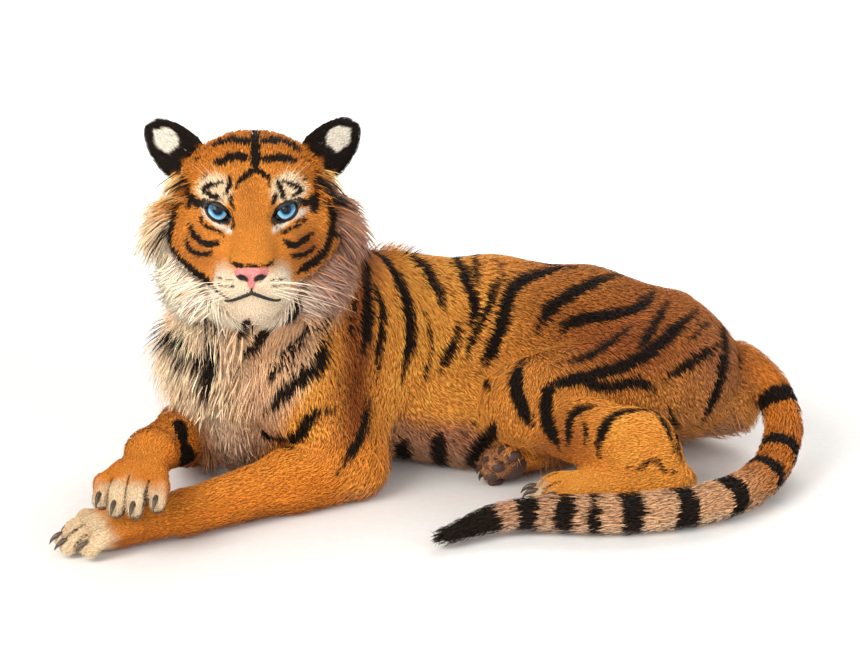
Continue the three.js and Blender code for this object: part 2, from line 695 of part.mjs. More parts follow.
// Eyes behind their lids, and the seat of each in the head.
const inHead = (matrix) => headMatrix.clone().multiply(matrix);
function almond() {
  const [w, h] = EYE.opening;
  const rim = (y) =>
    Array.from({ length: 14 }, (_, i) => {
      const t = (2 * Math.PI * i) / 14;
      return V((w / 2) * Math.cos(t), y, (h / 2) * Math.sin(t) * (1 - 0.2 * Math.cos(t) ** 2));
    });
  return tube([rim(60), rim(4)]);
}
for (const [name, side] of [["right", 1], ["left", -1]]) {
  const centre = V(side * EYE.aside, EYE.deep, EYE.up);
  const place = inHead(new THREE.Matrix4().setPosition(centre));
  const globe = (r) => solid(new THREE.SphereGeometry(r, 18, 12), place);
  const seat = (y) => beyond(fromHead(V(0, y, 0)), turnHead(V(0, 1, 0)));
  const look = new THREE.Matrix4()
    .makeTranslation(centre.x, EYE.seat, centre.z)
    .multiply(new THREE.Matrix4().makeRotationY(radians(-side * EYE.slant)));
  head = head.subtract(globe(EYE.radius + GAP).intersect(seat(EYE.seat - GAP)));
  head = head.subtract(solidOf(almond(), inHead(look)));
  put("eye_" + name, globe(EYE.radius).intersect(seat(EYE.seat)), COLOURS.iris);
}

// The nose leather with its nostrils, and the grooves of the mouth and of the lip below the nose.
const noseField = melt([
  bone(V(-17, 108, -80), V(17, 108, -80), 16, 16, 8),
  ball(V(0, 110, -82), 32, 20, 15, 10),
  ball(V(23, 104, -88), 13, 17, 12, 10),
  ball(V(-23, 104, -88), 13, 17, 12, 10),
  bone(V(0, 112, -90), V(0, 112, -106), 12, 5, 10),
]);
const noseLattice = [lattice(-46, 46, 6), lattice(78, 140, 6), lattice(-120, -58, 6)];
const nose = flesh(noseField, noseLattice, 1.6, headMatrix);
const nostril = (side) =>
  solid(
    new THREE.SphereGeometry(1, 12, 8),
    inHead(new THREE.Matrix4().makeTranslation(side * 14, 132, -89))
      .multiply(new THREE.Matrix4().makeRotationY(radians(side * 24)))
      .multiply(new THREE.Matrix4().makeScale(8.5, 13, 5)),
  );
head = head.subtract(nose.grown);
put("nose", nose.body.subtract(nostril(1)).subtract(nostril(-1)), COLOURS.nose);

// The point on the front of the face at x and z.
function faceAt(x, z) {
  let [near, far] = [0, 170];
  for (let n = 0; n < 30; n++) {
    const y = (near + far) / 2;
    if (headLocal(x, y, z) < 0) near = y;
    else far = y;
  }
  return V(x, near, z);
}
const mouthLine = Array.from({ length: 13 }, (_, i) => {
  const x = MOUTH.half * (i / 6 - 1);
  return faceAt(x, lerp(MOUTH.centre, MOUTH.corner, Math.abs(x / MOUTH.half) ** 1.1));
});
const grooves = [
  sweep(mouthLine, mouthLine.map((_, i) => (i % 12 ? MOUTH.groove : 0)), 6, V(0, 1, 0)),
  sweep(
    [0, 0.5, 1].map((t) => faceAt(0, lerp(MOUTH.philtrum, MOUTH.centre, t))),
    [2.4, 2.4, 2.4], 6, V(0, 1, 0),
  ),
];
for (const groove of grooves) head = head.subtract(solidOf(groove, headMatrix));
head = largest(head);

// An ear: a cupped shell whose back faces forward, as when a tiger turns its ears out.
function earShell(side) {
  const across = EAR.back.clone().cross(EAR.tip).normalize();
  const back = EAR.tip.clone().cross(across).normalize();
  const tip = across.clone().cross(back).negate().normalize();
  if (tip.dot(EAR.tip) < 0) tip.negate();
  const sheet = (inset) => {
    const rows = [];
    for (let r = 0; r <= EAR.rows; r++) {
      const v = r / EAR.rows;
      const widest = 0.36;
      const round = Math.sqrt(1 - (Math.max(0, v - widest) / 0.66) ** 2);
      const half = (EAR.half - inset) * round * (0.72 + 0.28 * Math.min(1, v / widest));
      for (let c = 0; c <= EAR.columns; c++) {
        const u = (2 * c) / EAR.columns - 1;
        const curl = EAR.cup * (1 - 0.45 * v) * (u * u) + 10 * v * v;
        rows.push(
          EAR.base.clone()
            .addScaledVector(across, half * u * (1 - 0.1 * u * u))
            .addScaledVector(tip, (EAR.height - inset) * v - 22)
            .addScaledVector(back, 16 - curl - inset),
        );
      }
    }
    return rows;
  };
  const points = [...sheet(0), ...sheet(EAR.thick)];
  const n = EAR.columns + 1, layer = n * (EAR.rows + 1);
  const faces = [];
  const quad = (a, b, c, d) => faces.push([a, b, c], [a, c, d]);
  for (let r = 0; r < EAR.rows; r++)
    for (let c = 0; c < EAR.columns; c++) {
      const a = r * n + c;
      quad(a, a + 1, a + n + 1, a + n);
      quad(layer + a, layer + a + n, layer + a + n + 1, layer + a + 1);
    }
  const rim = [];
  for (let c = 0; c < EAR.columns; c++) rim.push(c);
  for (let r = 0; r < EAR.rows; r++) rim.push(r * n + EAR.columns);
  for (let c = EAR.columns; c > 0; c--) rim.push(EAR.rows * n + c);
  for (let r = EAR.rows; r > 0; r--) rim.push(r * n);
  rim.forEach((a, i) => {
    const b = rim[(i + 1) % rim.length];
    quad(b, a, layer + a, layer + b);
  });
  if (side < 0) points.forEach((q) => (q.x *= -1));
  else faces.forEach((f) => f.reverse());
  const shell = { points, faces };
  return { body: solidOf(shell, headMatrix), grown: solidOf(grownBy(shell, GAP), headMatrix) };
}
const ears = { right: earShell(1), left: earShell(-1) };
for (const name of ["left", "right"]) put("ear_" + name, ears[name].body.subtract(headGrown), COLOURS.dark);

let cheekL, cheekR, neck, breast, fore, upperArmL, upperArmR, thighL, thighR, belly, hips, loin;
[cheekL, head] = carve(head, planes.cheekL);
[cheekR, head] = carve(head, planes.cheekR);
[neck, rest] = carve(rest, planes.neck);
[fore, rest] = carve(rest, planes.fore);
[upperArmL, fore] = carve(fore, planes.upperArmL);
[upperArmR, fore] = carve(fore, planes.upperArmR);
[breast, fore] = carve(fore, planes.breast);
[thighL, rest] = carve(rest, planes.thighL);
[thighR, rest] = carve(rest, planes.thighR);
[belly, rest] = carve(rest, planes.belly);
[hips, rest] = carve(rest, planes.hips);
[loin, rest] = carve(rest, planes.loin);

// The tail in lengths, and the same tail grown by the gap.
const spine = new THREE.CatmullRomCurve3(TAIL.path, false, "centripetal");
function tailLength(from, to, grow) {
  const path = [], radii = [], ways = [];
  for (let i = 0; i <= TAIL.ringsEach; i++) {
    const t = lerp(from, to, i / TAIL.ringsEach);
    const thin = Math.max(0, (t - TAIL.taperFrom) / (1 - TAIL.taperFrom)) ** 1.6;
    const thick = Math.max(0, 1 - t / TAIL.rootShare);
    const extra = thick * (TAIL.rootRadius - TAIL.radius) - thin * (TAIL.radius - TAIL.tipRadius);
    path.push(spine.getPointAt(t));
    ways.push(spine.getTangentAt(t));
    radii.push(grow + TAIL.radius + extra);
  }
  if (from > 0) path[0].addScaledVector(ways[0], GAP);
  return solidOf(sweep(path, radii, TAIL.sides, V(0, 0, 1), ways));
}
const tailPart = (n, grow) => tailLength(n / TAIL.lengths, (n + 1) / TAIL.lengths, grow);
const tailNumbers = Array.from({ length: TAIL.lengths }, (_, n) => n);
const tailGrown = tailNumbers.map((n) => tailPart(n, 2 * GAP)).reduce((a, b) => a.add(b));

// The regions in the order in which they are cut, each with the one that it is cut from.
const cuts = [
  ["cheekL", "head"], ["cheekR", "head"], ["head"], ["neck"], ["upperArmL", "fore"], ["upperArmR", "fore"],
  ["breast", "fore"], ["fore"], ["thighL"], ["thighR"], ["belly"], ["hips"], ["loin"],
];
const isPast = (p) => ([q, n]) => p.clone().sub(q).dot(n) > 0;
const hostOf = (p) => cuts.find((names) => names.every((n) => planes[n].every(isPast(p))))?.[0] ?? "rest";
const roomOf = (host) => {
  const place = cuts.findIndex(([name]) => name === host);
  const whole = (names, slack = 0) =>
    names.map((n) => region(planes[n], slack)).reduce((a, b) => a.intersect(b));
  return cuts.slice(0, place).reduce((room, names) => room.subtract(whole(names, GAP)), whole(cuts[place]));
};

// Where the locks grow. Each starts from a point inside the flesh and the way out of it to the root.
const shares = (n) => Array.from({ length: n }, (_, i) => i / (n - 1));
const facing = (degrees, z = 0) => V(Math.sin(radians(degrees)), -Math.cos(radians(degrees)), z);
const seeds = [];
for (const side of [1, -1])
  HAIR.ruff.rows.forEach((y, row) => {
    for (const t of shares(HAIR.ruff.each)) {
      const turn = radians(lerp(HAIR.ruff.from, HAIR.ruff.to, t) - 8 * row + between(-4, 4));
      const way = V(side * Math.cos(turn), 0, Math.sin(turn));
      const lie = way.clone().multiplyScalar(0.6).add(V(0, -0.4, -0.62));
      seeds.push([fromHead(V(side * 56, y, -46)), turnHead(way), turnHead(lie), HAIR.ruff.length]);
    }
  });
HAIR.breast.rows.forEach((z, row) => {
  const { each, from, to, length } = HAIR.breast;
  for (const t of shares(each)) {
    const low = Math.max(0, 230 - z) / 108;
    const high = Math.max(0, z - 284) / 108;
    const degrees = lerp(from, to - 40 * low, t) + (row % 2) * 11 + between(-5, 5);
    const start = V(-318, -140, z).lerp(V(-312, -262, z), high);
    seeds.push([start, facing(degrees, -0.25 * high), facing(degrees, -2.1), length]);
  }
});
for (const t of shares(HAIR.nape.each))
  seeds.push([
    V(-200, -140, 330).lerp(V(-66, -10, 262), t),
    V(between(-0.1, 0.3), between(-0.4, 0.2), 1), V(0.8, between(-0.25, 0.25), 0.62), HAIR.nape.length,
  ]);
for (const t of shares(HAIR.belly.each))
  seeds.push([V(lerp(-66, 88, t), -60, 70), V(0, -1, -0.2), V(0.3, -0.6, -0.75), HAIR.belly.length]);
for (const t of shares(HAIR.rump.each))
  seeds.push([V(lerp(506, 600, t), 16, 96), V(0.3 * t, -1, -0.3), V(0.5, -0.3, -0.7), HAIR.rump.length]);
for (const t of shares(HAIR.elbow.each))
  seeds.push([V(-146, -226, lerp(150, 66, t)), V(1, -0.35, 0), V(0.7, 0.1, -0.55), HAIR.elbow.length]);

const locks = seeds.map(([start, way, lie, [least, most]]) => {
  const root = reach(bodyField, start, way);
  const out = outward(bodyField, root);
  return { root, out, lie: lie.normalize(), length: between(least, most), host: hostOf(root) };
});

// A host's locks keep clear of every other node and of the locks of the hosts before it.
const hosts = { cheekL, cheekR, neck, upperArmL, breast, fore, belly, hips };
const limbsGrown = foreL.grown.add(foreR.grown).add(hindL.grown).add(footRight.grown).add(tailGrown);
const fleshGrown = trunk.grown.add(headWhole.grown);
let taken = ears.left.grown.add(ears.right.grown);
for (const host of Object.keys(hosts)) {
  const own = locks.filter((l) => l.host === host);
  if (!own.length) continue;
  const blocked = fleshGrown.subtract(roomOf(host)).add(limbsGrown).add(taken);
  const built = (grow) => own.map((l) => blade(l, grow)).reduce((a, b) => a.add(b));
  hosts[host] = largest(hosts[host].add(built(0).intersect(FLOOR).subtract(blocked)));
  taken = taken.add(built(GAP));
}

put("head", head);
put("cheek_left", hosts.cheekL);
put("cheek_right", hosts.cheekR);
put("neck", hosts.neck);
put("breast", hosts.breast, COLOURS.pale);
put("shoulders", hosts.fore);
put("upper_arm_left", hosts.upperArmL);
put("upper_arm_right", upperArmR);
put("ribs", rest);
put("belly", hosts.belly, COLOURS.pale);
put("loin", loin);
put("hips", hosts.hips);
put("thigh_left", thighL);
put("thigh_right", thighR);
const pastElbow = (elbow, wrist) => beyond(elbow.clone().lerp(wrist, 0.05), wrist.clone().sub(elbow));
put("forearm_left", foreL.upper.intersect(pastElbow(at.elbowL, at.wristL)).subtract(trunk.grown));
put("forepaw_left", foreL.lower);
const behindOthers = trunk.grown.add(foreL.grown);
put("forearm_right", foreR.upper.intersect(pastElbow(at.elbowR, at.wristR)).subtract(behindOthers));
put("forepaw_right", foreR.lower.subtract(foreL.grown));
put("shank_left", hindL.upper.subtract(trunk.grown));
put("hind_foot_left", hindL.lower.subtract(trunk.grown));
put("hind_foot_right", footRight.body.subtract(trunk.grown).subtract(hindL.grown));
for (const n of tailNumbers)
  put("tail_" + (n + 1), tailPart(n, 0).intersect(FLOOR).subtract(trunk.grown));

// Claws, of which the tips show past the toes.
const clawed = [
  ["forepaw_left", pawL, foreL.grown], ["forepaw_right", pawR, foreR.grown],
  ["hind_foot_left", footL, hindL.grown], ["hind_foot_right", footR, footRight.grown],
];
for (const [host, p, grown] of clawed)
  p.claws.forEach((q, i) => {
    const point = ([f, u]) =>
      q.clone().addScaledVector(p.ahead, f * CLAW.length).addScaledVector(p.up, u * CLAW.length);
    const hook = sweep(CLAW.path.map(point), CLAW.taper.map((k) => k * CLAW.radius), CLAW.sides);
    const made = solidOf(hook).subtract(grown).subtract(trunk.grown).subtract(taken);
    if (made.volume() > CLAW.least) put("claw_" + host + "_" + (i + 1), made, COLOURS.claw);
  });

const group = new THREE.Group();
for (const [name, { solid: s, colour }] of nodes) {
  const material = new THREE.MeshStandardMaterial({ color: colour, roughness: 0.9 });
  const mesh = new THREE.Mesh(geometryOf(surfaceOf(s)), material);
  mesh.name = name;
  group.add(mesh);
}
// The origin is on the floor, below the middle of the whole tiger.
const middle = new THREE.Box3().setFromObject(group).getCenter(V(0, 0, 0));
group.position.set(-middle.x, -middle.y, 0);
export default group;
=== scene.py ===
"""A life-size Siberian tiger that lies with its head up: skin, coat, eyes, nose, claws and studio.

The flesh is worked out in millimetres, in a model frame whose origin lies on the floor under the trunk.
Finished meshes are moved to the shared frame and to metres as their last step.
"""

import copy
import logging
import math
from collections.abc import Callable
from dataclasses import dataclass, field
from enum import Enum, IntEnum
from itertools import product

import bpy
import numpy as np
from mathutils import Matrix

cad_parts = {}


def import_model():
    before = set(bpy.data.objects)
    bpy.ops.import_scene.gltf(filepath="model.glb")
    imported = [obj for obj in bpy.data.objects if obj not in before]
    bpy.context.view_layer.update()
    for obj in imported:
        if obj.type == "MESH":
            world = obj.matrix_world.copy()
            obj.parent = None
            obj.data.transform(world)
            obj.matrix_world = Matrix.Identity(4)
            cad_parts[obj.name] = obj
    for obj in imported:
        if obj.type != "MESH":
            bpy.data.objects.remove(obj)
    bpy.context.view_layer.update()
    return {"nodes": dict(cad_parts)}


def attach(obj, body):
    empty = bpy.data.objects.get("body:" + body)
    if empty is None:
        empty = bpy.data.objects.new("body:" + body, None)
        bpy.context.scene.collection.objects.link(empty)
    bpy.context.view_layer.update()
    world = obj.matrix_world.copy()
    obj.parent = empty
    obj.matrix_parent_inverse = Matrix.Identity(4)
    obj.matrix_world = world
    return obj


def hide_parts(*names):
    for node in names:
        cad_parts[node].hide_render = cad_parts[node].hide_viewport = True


Array = np.ndarray
Field = Callable[[Array], Array]
Point = tuple[float, float, float]
Colour = tuple[float, float, float]
Pixel = tuple[float, float]
Material = bpy.types.Material

log = logging.getLogger("tiger")


# ---- Small maths on arrays of points ----

def vec(*values: float) -> Array:
    """Numbers as one float array."""
    return np.array(values, dtype=float)


def start_at(*values: float) -> Array:
    """A dataclass field that starts as vec(*values)."""
    return field(default_factory=lambda: vec(*values))


def unit(v: Array) -> Array:
    """Vectors scaled to length 1: v / |v|."""
    return v / np.maximum(np.linalg.norm(v, axis=-1, keepdims=True), 1e-9)


def smooth(low: float, high: float, x: Array) -> Array:
    """The smooth step 3t² − 2t³ of t = (x − low) / (high − low), held to 0..1."""
    t = np.clip((x - low) / (high - low), 0, 1)
    return t * t * (3 - 2 * t)


def blend(a: Array, b: Array, t: Array) -> Array:
    """Rows of a and b mixed by the shares t: a + (b − a) t."""
    return a + (b - a) * np.asarray(t)[..., None]


def lengths(v: Array) -> Array:
    """The length of each row: √(v·v)."""
    return np.sqrt(np.einsum("ij,ij->i", v, v))


def one_side(p: Array) -> Array:
    """Points with their x made positive, for forms that are alike on both sides."""
    return np.stack([np.abs(p[:, 0]), p[:, 1], p[:, 2]], axis=1)


def plain(row: Array, count: int) -> Array:
    """The same row `count` times: one colour or one way for all points."""
    return np.tile(row, (count, 1))


def laid_flat(ways: Array, normals: Array) -> Array:
    """Unit ways laid on a surface: w − (w·n) n, over its length."""
    return unit(ways - (ways * normals).sum(axis=1, keepdims=True) * normals)


def turn_about(v: Array, axis: Array, degrees: float) -> Array:
    """v turned about a unit axis: v cos + (axis × v) sin + axis (axis·v)(1 − cos)."""
    c, s = math.cos(math.radians(degrees)), math.sin(math.radians(degrees))
    return v * c + np.cross(axis, v) * s + axis * np.asarray(v @ axis)[..., None] * (1 - c)


def soften(a: Array, b: Array, k: float) -> Array:
    """The smooth least of two fields: min(a, b) − h² k / 4, where h = max(k − |a − b|, 0) / k."""
    h = np.maximum(k - np.abs(a - b), 0) / k
    return np.minimum(a, b) - h * h * k / 4


def hollow(a: Array, b: Array, k: float) -> Array:
    """Field a with b carved out of it, smoothly over k."""
    return -soften(-a, b, k)


def waves(p: Array, size: float, seed: int) -> Array:
    """Soft noise from −1 to 1: the mean of six sines of p along random ways.

    Args:
        p: points.
        size: the length of a wave in millimetres.
        seed: picks the ways.

    Returns:
        One value a point.
    """
    rng = np.random.default_rng(seed)
    ways = unit(rng.normal(size=(6, 3))) * rng.uniform(0.7, 1.5, (6, 1)) * 2 * math.pi / size
    return np.sin(p @ ways.T + rng.uniform(0, 2 * math.pi, 6)).mean(axis=1) * 1.6


def hill(*terms: tuple[Array, float, float]) -> Array:
    """A soft place, 1 at its middle: exp(−Σ ((x − middle) / spread)²) over terms (x, middle, spread)."""
    return np.exp(-sum(((x - middle) / spread) ** 2 for x, middle, spread in terms))


# ---- Fields of flesh: negative inside ----

def off_link(p: Array, a: Array, b: Array) -> tuple[Array, Array]:
    """Offsets of points from the nearest spot a + t (b − a) of a straight link, and its share t in 0..1.

    Args:
        p: points, one a row.
        a, b: the link's ends.

    Returns:
        Offsets and shares.
    """
    ab = b - a
    q = p - a
    t = np.clip(q @ ab / max(ab @ ab, 1e-9), 0, 1)
    return q - t[:, None] * ab, t


def along_chain(p: Array, chain: Array) -> Array:
    """The distance from points to a chain of straight links: the least over its links."""
    return np.min([lengths(off_link(p, a, b)[0]) for a, b in zip(chain, chain[1:])], axis=0)


@dataclass(frozen=True)
class Bone:
    """A tapered capsule from a to b; `wide` stretches its section along the unit vector `side`."""

    a: Array
    b: Array
    ra: float
    rb: float
    blend: float = 40
    wide: float = 1
    side: Array = start_at(0, 0, 1)

    def distance(self, p: Array) -> Array:
        """|q − side s| − r(t): q is p's offset from ab at share t, and s = (q·side)(1 − 1/wide).

        Args:
            p: points, one a row.

        Returns:
            One distance a row.
        """
        q, t = off_link(p, self.a, self.b)
        if self.wide != 1:
            q = q - ((q @ self.side) * (1 - 1 / self.wide))[:, None] * self.side
        return lengths(q) - self.ra - (self.rb - self.ra) * t


@dataclass(frozen=True)
class Ball:
    """An ellipsoid with radii along its own axes, turned by yaw degrees about z."""

    centre: Array
    radii: Array
    blend: float = 40
    yaw: float = 0

    def distance(self, p: Array) -> Array:
        """n (n − 1) / |q / radii|, where q is the turned offset over the radii and n its length.

        Args:
            p: points, one a row.

        Returns:
            One distance a row.
        """
        q = turn_about(p - self.centre, vec(0, 0, 1), -self.yaw) if self.yaw else p - self.centre
        q = q / self.radii
        near = np.maximum(lengths(q), 1e-6)
        return near * (near - 1) / np.maximum(lengths(q / self.radii), 1e-9)


def melt(shapes: list, p: Array) -> Array:
    """The smooth union of shapes, each softened into those before it by its own blend.

    Args:
        shapes: shapes with a distance and a blend, in order.
        p: points.

    Returns:
        One distance a point.
    """
    total = shapes[0].distance(p)
    for shape in shapes[1:]:
        total = soften(total, shape.distance(p), shape.blend)
    return total


# ---- The head ----

@dataclass
class Head:
    """The head in its own frame: origin between the eyes, x to the tiger's right, y out, z up.

    An eye's opening is w × h and slants by `slant` degrees. `hole` is how far the skin stays clear of it.
    `nostril` gives the radii of a nostril, and `reach` is as far as the face can lie forward.
    """

    origin: Array = start_at(-304, -420, 582)
    yaw: float = 3
    eye_aside: float = 58
    eye_up: float = 4
    eye_deep: float = 16
    eye_radius: float = 21
    eye_seat: float = 17
    eye_front: float = 45
    opening: tuple[float, float] = (43, 22.5)
    hole: tuple[float, float] = (7, 6)
    slant: float = 32
    mouth_half: float = 46
    mouth_centre: float = -116
    mouth_corner: float = -138
    philtrum: float = -104
    groove: float = 3.4
    nostril: tuple[float, float, float] = (9.6, 15, 6)
    nostril_at: Point = (14.5, 130, -90)
    nostril_slant: float = 28
    reach: float = 170

    def __post_init__(self) -> None:
        """Sets up the turn to the model frame and the bones of the head."""
        a = math.radians(180 + self.yaw)
        c, s = math.cos(a), math.sin(a)
        self.turn = np.array([[c, -s, 0], [s, c, 0], [0, 0, 1]])
        self.bones = [
            Ball(vec(0, -92, 26), vec(112, 112, 94), 30),                              # braincase
            Bone(vec(20, -66, 62), vec(74, -76, 44), 56, 52, 40),                      # crown
            Ball(vec(0, -22, 30), vec(80, 50, 44), 36),                                # forehead
            Bone(vec(24, 16, 34), vec(86, -16, 28), 17, 15, 24),                       # brow
            Bone(vec(50, 26, -46), vec(112, -60, -30), 40, 44, 34),                    # cheekbone
            Ball(vec(92, -64, -66), vec(56, 78, 76), 44),                              # cheek
            Bone(vec(0, 8, 10), vec(0, 94, -60), 37, 31, 30, 1.2, vec(1, 0, 0)),       # bridge of the nose
            Bone(vec(0, 30, -92), vec(0, 76, -102), 60, 46, 30),                       # muzzle
            Ball(vec(30, 84, -106), vec(36, 38, 31), 12),                              # whisker pad
            Ball(vec(0, 76, -150), vec(40, 34, 27), 14),                               # chin
            Bone(vec(0, 56, -142), vec(66, -56, -124), 36, 50, 34),                    # jaw
            Ball(vec(0, -44, -118), vec(80, 90, 68), 46),                              # throat
        ]
        self.socket = Ball(vec(60, 48, -2), vec(25, 18, 15), 18)
        self.eyeball = Ball(vec(self.eye_aside, self.eye_deep, self.eye_up), vec(27, 25, 25), 9)

    def to_local(self, p: Array) -> Array:
        """Model points in the head's frame."""
        return (p - self.origin) @ self.turn

    def to_model(self, p: Array) -> Array:
        """Points of the head's frame in the model frame."""
        return p @ self.turn.T + self.origin

    def turn_out(self, v: Array) -> Array:
        """Directions of the head's frame in the model frame."""
        return v @ self.turn.T

    def distance(self, p: Array) -> Array:
        """The head's field at points of its own frame, alike on both sides.

        Args:
            p: points, one a row.

        Returns:
            One distance a row.
        """
        q = one_side(p)
        carved = hollow(melt(self.bones, q), self.socket.distance(q), self.socket.blend)
        return soften(carved, self.eyeball.distance(q), self.eyeball.blend)

    def face_at(self, x: Array, z: Array, inset: float = 0) -> Array:
        """Points on the front of the face, found by halving the way out along y thirty times.

        Args:
            x: places across.
            z: places up.
            inset: how far under the surface.

        Returns:
            Points in the head's frame.
        """
        near, far = np.zeros(len(x)), np.full(len(x), float(self.reach))
        for _ in range(30):
            y = (near + far) / 2
            inside = self.distance(np.stack([x, y, z], axis=1)) < -inset
            near, far = np.where(inside, y, near), np.where(inside, far, y)
        return np.stack([x, near, z], axis=1)

    def mouth_line(self, count: int = 25) -> Array:
        """The line of the mouth: x from −half to half, z from the centre to the corners as |x/half|^1.1.

        Args:
            count: how many points.

        Returns:
            Points of the head's frame.
        """
        x = np.linspace(-self.mouth_half, self.mouth_half, count)
        share = np.abs(x / self.mouth_half) ** 1.1
        return self.face_at(x, self.mouth_centre + (self.mouth_corner - self.mouth_centre) * share)

    def lip_line(self, count: int = 9) -> Array:
        """The groove from the nose down to the middle of the mouth."""
        z = np.linspace(self.philtrum, self.mouth_centre, count)
        return self.face_at(np.zeros(count), z)

    @staticmethod
    def _slanting(q: Array, at: Point, degrees: float, radii: Array) -> Array:
        """The field of an ellipsoid on each side, its outer end raised by a turn about y.

        Args:
            q: points in the head's frame.
            at: the right one's centre.
            degrees: the turn.
            radii: its radii.

        Returns:
            One distance a point.
        """
        c, s = math.cos(math.radians(degrees)), math.sin(math.radians(degrees))
        x, z = np.abs(q[:, 0]) - at[0], q[:, 2] - at[2]
        turned = np.stack([x * c + z * s, q[:, 1] - at[1], z * c - x * s], axis=1)
        return Ball(vec(0, 0, 0), radii).distance(turned)

    def nostrils(self, q: Array, grow: float = 0) -> Array:
        """The field of the two nostrils, grown by `grow`."""
        return self._slanting(q, self.nostril_at, self.nostril_slant, vec(*self.nostril) + grow)

    def round_eye(self, q: Array, wider: float, higher: float) -> Array:
        """The field of an ellipsoid round each eye's opening, in the head's frame."""
        radii = vec(self.opening[0] / 2 + wider, 42, self.opening[1] / 2 + higher)
        return self._slanting(q, (self.eye_aside, self.eye_front, self.eye_up), self.slant, radii)

    def openings(self, q: Array) -> Array:
        """The holes of the skin: round each eye, along the mouth and the groove over it, and at the nostrils.

        Args:
            q: points in the head's frame.

        Returns:
            One distance a point, negative in a hole.
        """
        low = np.nonzero(q[:, 2] < self.philtrum + 12)[0]
        mouth = np.full(len(q), 99.0)
        if len(low):
            lips, groove = self.mouth_line() - vec(0, 2.4, 0), self.lip_line() - vec(0, 1.6, 0)
            mouth[low] = np.minimum(along_chain(q[low], lips) - self.groove,
                                    along_chain(q[low], groove) - self.groove * 0.6)
        return np.minimum(np.minimum(self.round_eye(q, *self.hole), mouth), self.nostrils(q, 3))

    def almond(self, side: float, angle: Array, grow: float = 0) -> Array:
        """The rim of an eye's opening: (w/2 cos t, h/2 sin t (1 − 0.3 cos²t)), turned by the slant.

        Its upper half is 0.86 as high.

        Args:
            side: 1 for the tiger's right eye, −1 for its left.
            angle: the angles t.
            grow: how much wider each half is.

        Returns:
            Places (x, z) in the head's frame.
        """
        w, h = self.opening
        x = (w / 2 + grow) * np.cos(angle)
        z = (h / 2 + grow) * np.sin(angle) * (1 - 0.3 * np.cos(angle) ** 2)
        z = np.where(z > 0, z * 0.86, z)
        a = math.radians(self.slant) * side
        return np.stack([x * math.cos(a) - z * math.sin(a) + side * self.eye_aside,
                         x * math.sin(a) + z * math.cos(a) + self.eye_up], axis=1)


# ---- Trunk, legs, paws and tail ----

LANDMARKS: dict[str, Array] = {name: vec(*place) for name, place in {
    "rump_end": (572, 44, 122), "hip": (450, 60, 168), "loin": (300, 70, 182), "ribs": (120, 62, 188),
    "withers": (-60, 20, 200), "breast_root": (-290, -105, 188), "breast": (-372, -150, 206),
    "belly": (150, -36, 96), "nape": (-168, -68, 290), "skull_base": (-292, -272, 532),
    "throat_low": (-330, -185, 300), "throat_high": (-308, -345, 462),
    "blade_l": (-92, -70, 300), "shoulder_l": (-250, -250, 232), "elbow_l": (-152, -236, 60),
    "wrist_l": (-430, -450, 44), "toes_l": (-644, -548, 27),
    "blade_r": (-190, 62, 300), "shoulder_r": (-424, -24, 226), "elbow_r": (-446, -8, 63),
    "wrist_r": (-490, -424, 150), "toes_r": (-520, -604, 104),
    "hip_l": (476, -20, 186), "knee_l": (176, -186, 164), "calf_l": (384, -250, 90),
    "heel_l": (448, -282, 41), "foot_l": (176, -296, 29),
    "hip_r": (478, 120, 110), "knee_r": (200, 206, 78), "heel_r": (236, -96, 40), "foot_r": (96, -214, 50),
}.items()}

TAIL_PATH: tuple[Point, ...] = (
    (540, 48, 190), (606, 34, 184), (660, -4, 150), (682, -84, 98), (650, -200, 57), (584, -308, 40),
    (490, -390, 38), (392, -430, 38), (300, -441, 37), (208, -436, 37), (120, -452, 35), (30, -508, 24),
)


@dataclass
class Paw:
    """Four toes side by side past the end of a limb; the outer two are shorter.

    The knuckle, the end and the claw lie `back` millimetres before a toe's reach.
    """

    root: Array
    tip: Array
    width: float
    thick: float
    spread: float
    rise: float
    roll: float = 0
    lanes: tuple[float, ...] = (-1.5, -0.5, 0.5, 1.5)
    outer_reach: float = 0.88
    back: tuple[float, float, float] = (42, 18, 10)

    def __post_init__(self) -> None:
        """Works out the paw's own directions, its shapes and where its claws leave the toes."""
        way = self.tip - self.root
        self.length = float(np.linalg.norm(way))
        self.ahead = way / self.length
        flat = unit(vec(-self.ahead[1], self.ahead[0], 0))
        self.aside = turn_about(flat, self.ahead, self.roll)
        up = unit(np.cross(self.aside, self.ahead))
        self.up = -up if up[2] < 0 else up
        self.shapes = [Bone(self.place(0, 0, 0), self.place(self.spread, 0, 0),
                            self.thick, self.thick * 0.98, 20, 1.25, self.aside)]
        self.claws = []
        for lane in self.lanes:
            off = lane * self.width / 4
            r = self.width / 7.6
            knuckle = self.place(self.toe(lane, self.back[0]), off, self.rise)
            end = self.place(self.toe(lane, self.back[1]), off * 1.02, -self.thick * 0.22)
            start = self.place(self.spread * 0.6, off * 0.7, self.thick * 0.2)
            self.shapes.append(Bone(start, knuckle, r * 0.96, r * 1.04, 9))
            self.shapes.append(Bone(knuckle, end, r * 1.04, r * 0.94, 9))
            self.claws.append(self.place(self.toe(lane, self.back[2]), off * 1.02, 0))

    def toe(self, lane: float, back: float) -> float:
        """The share of the paw's length at `back` millimetres before the reach of a toe."""
        return (self.outer_reach if abs(lane) > 1 else 1) - back / self.length

    def place(self, forward: float, across: float, up: float) -> Array:
        """A point of the paw: a share of its length forward, and millimetres across and up."""
        return self.root + self.ahead * forward * self.length + self.aside * across + self.up * up


class Part(IntEnum):
    """The parts of the flesh, in the order of the rows of Body.parts."""

    HEAD = 0
    TRUNK = 1
    FORE_LEFT = 2
    FORE_RIGHT = 3
    HIND_LEFT = 4
    FOOT_RIGHT = 5
    TAIL = 6


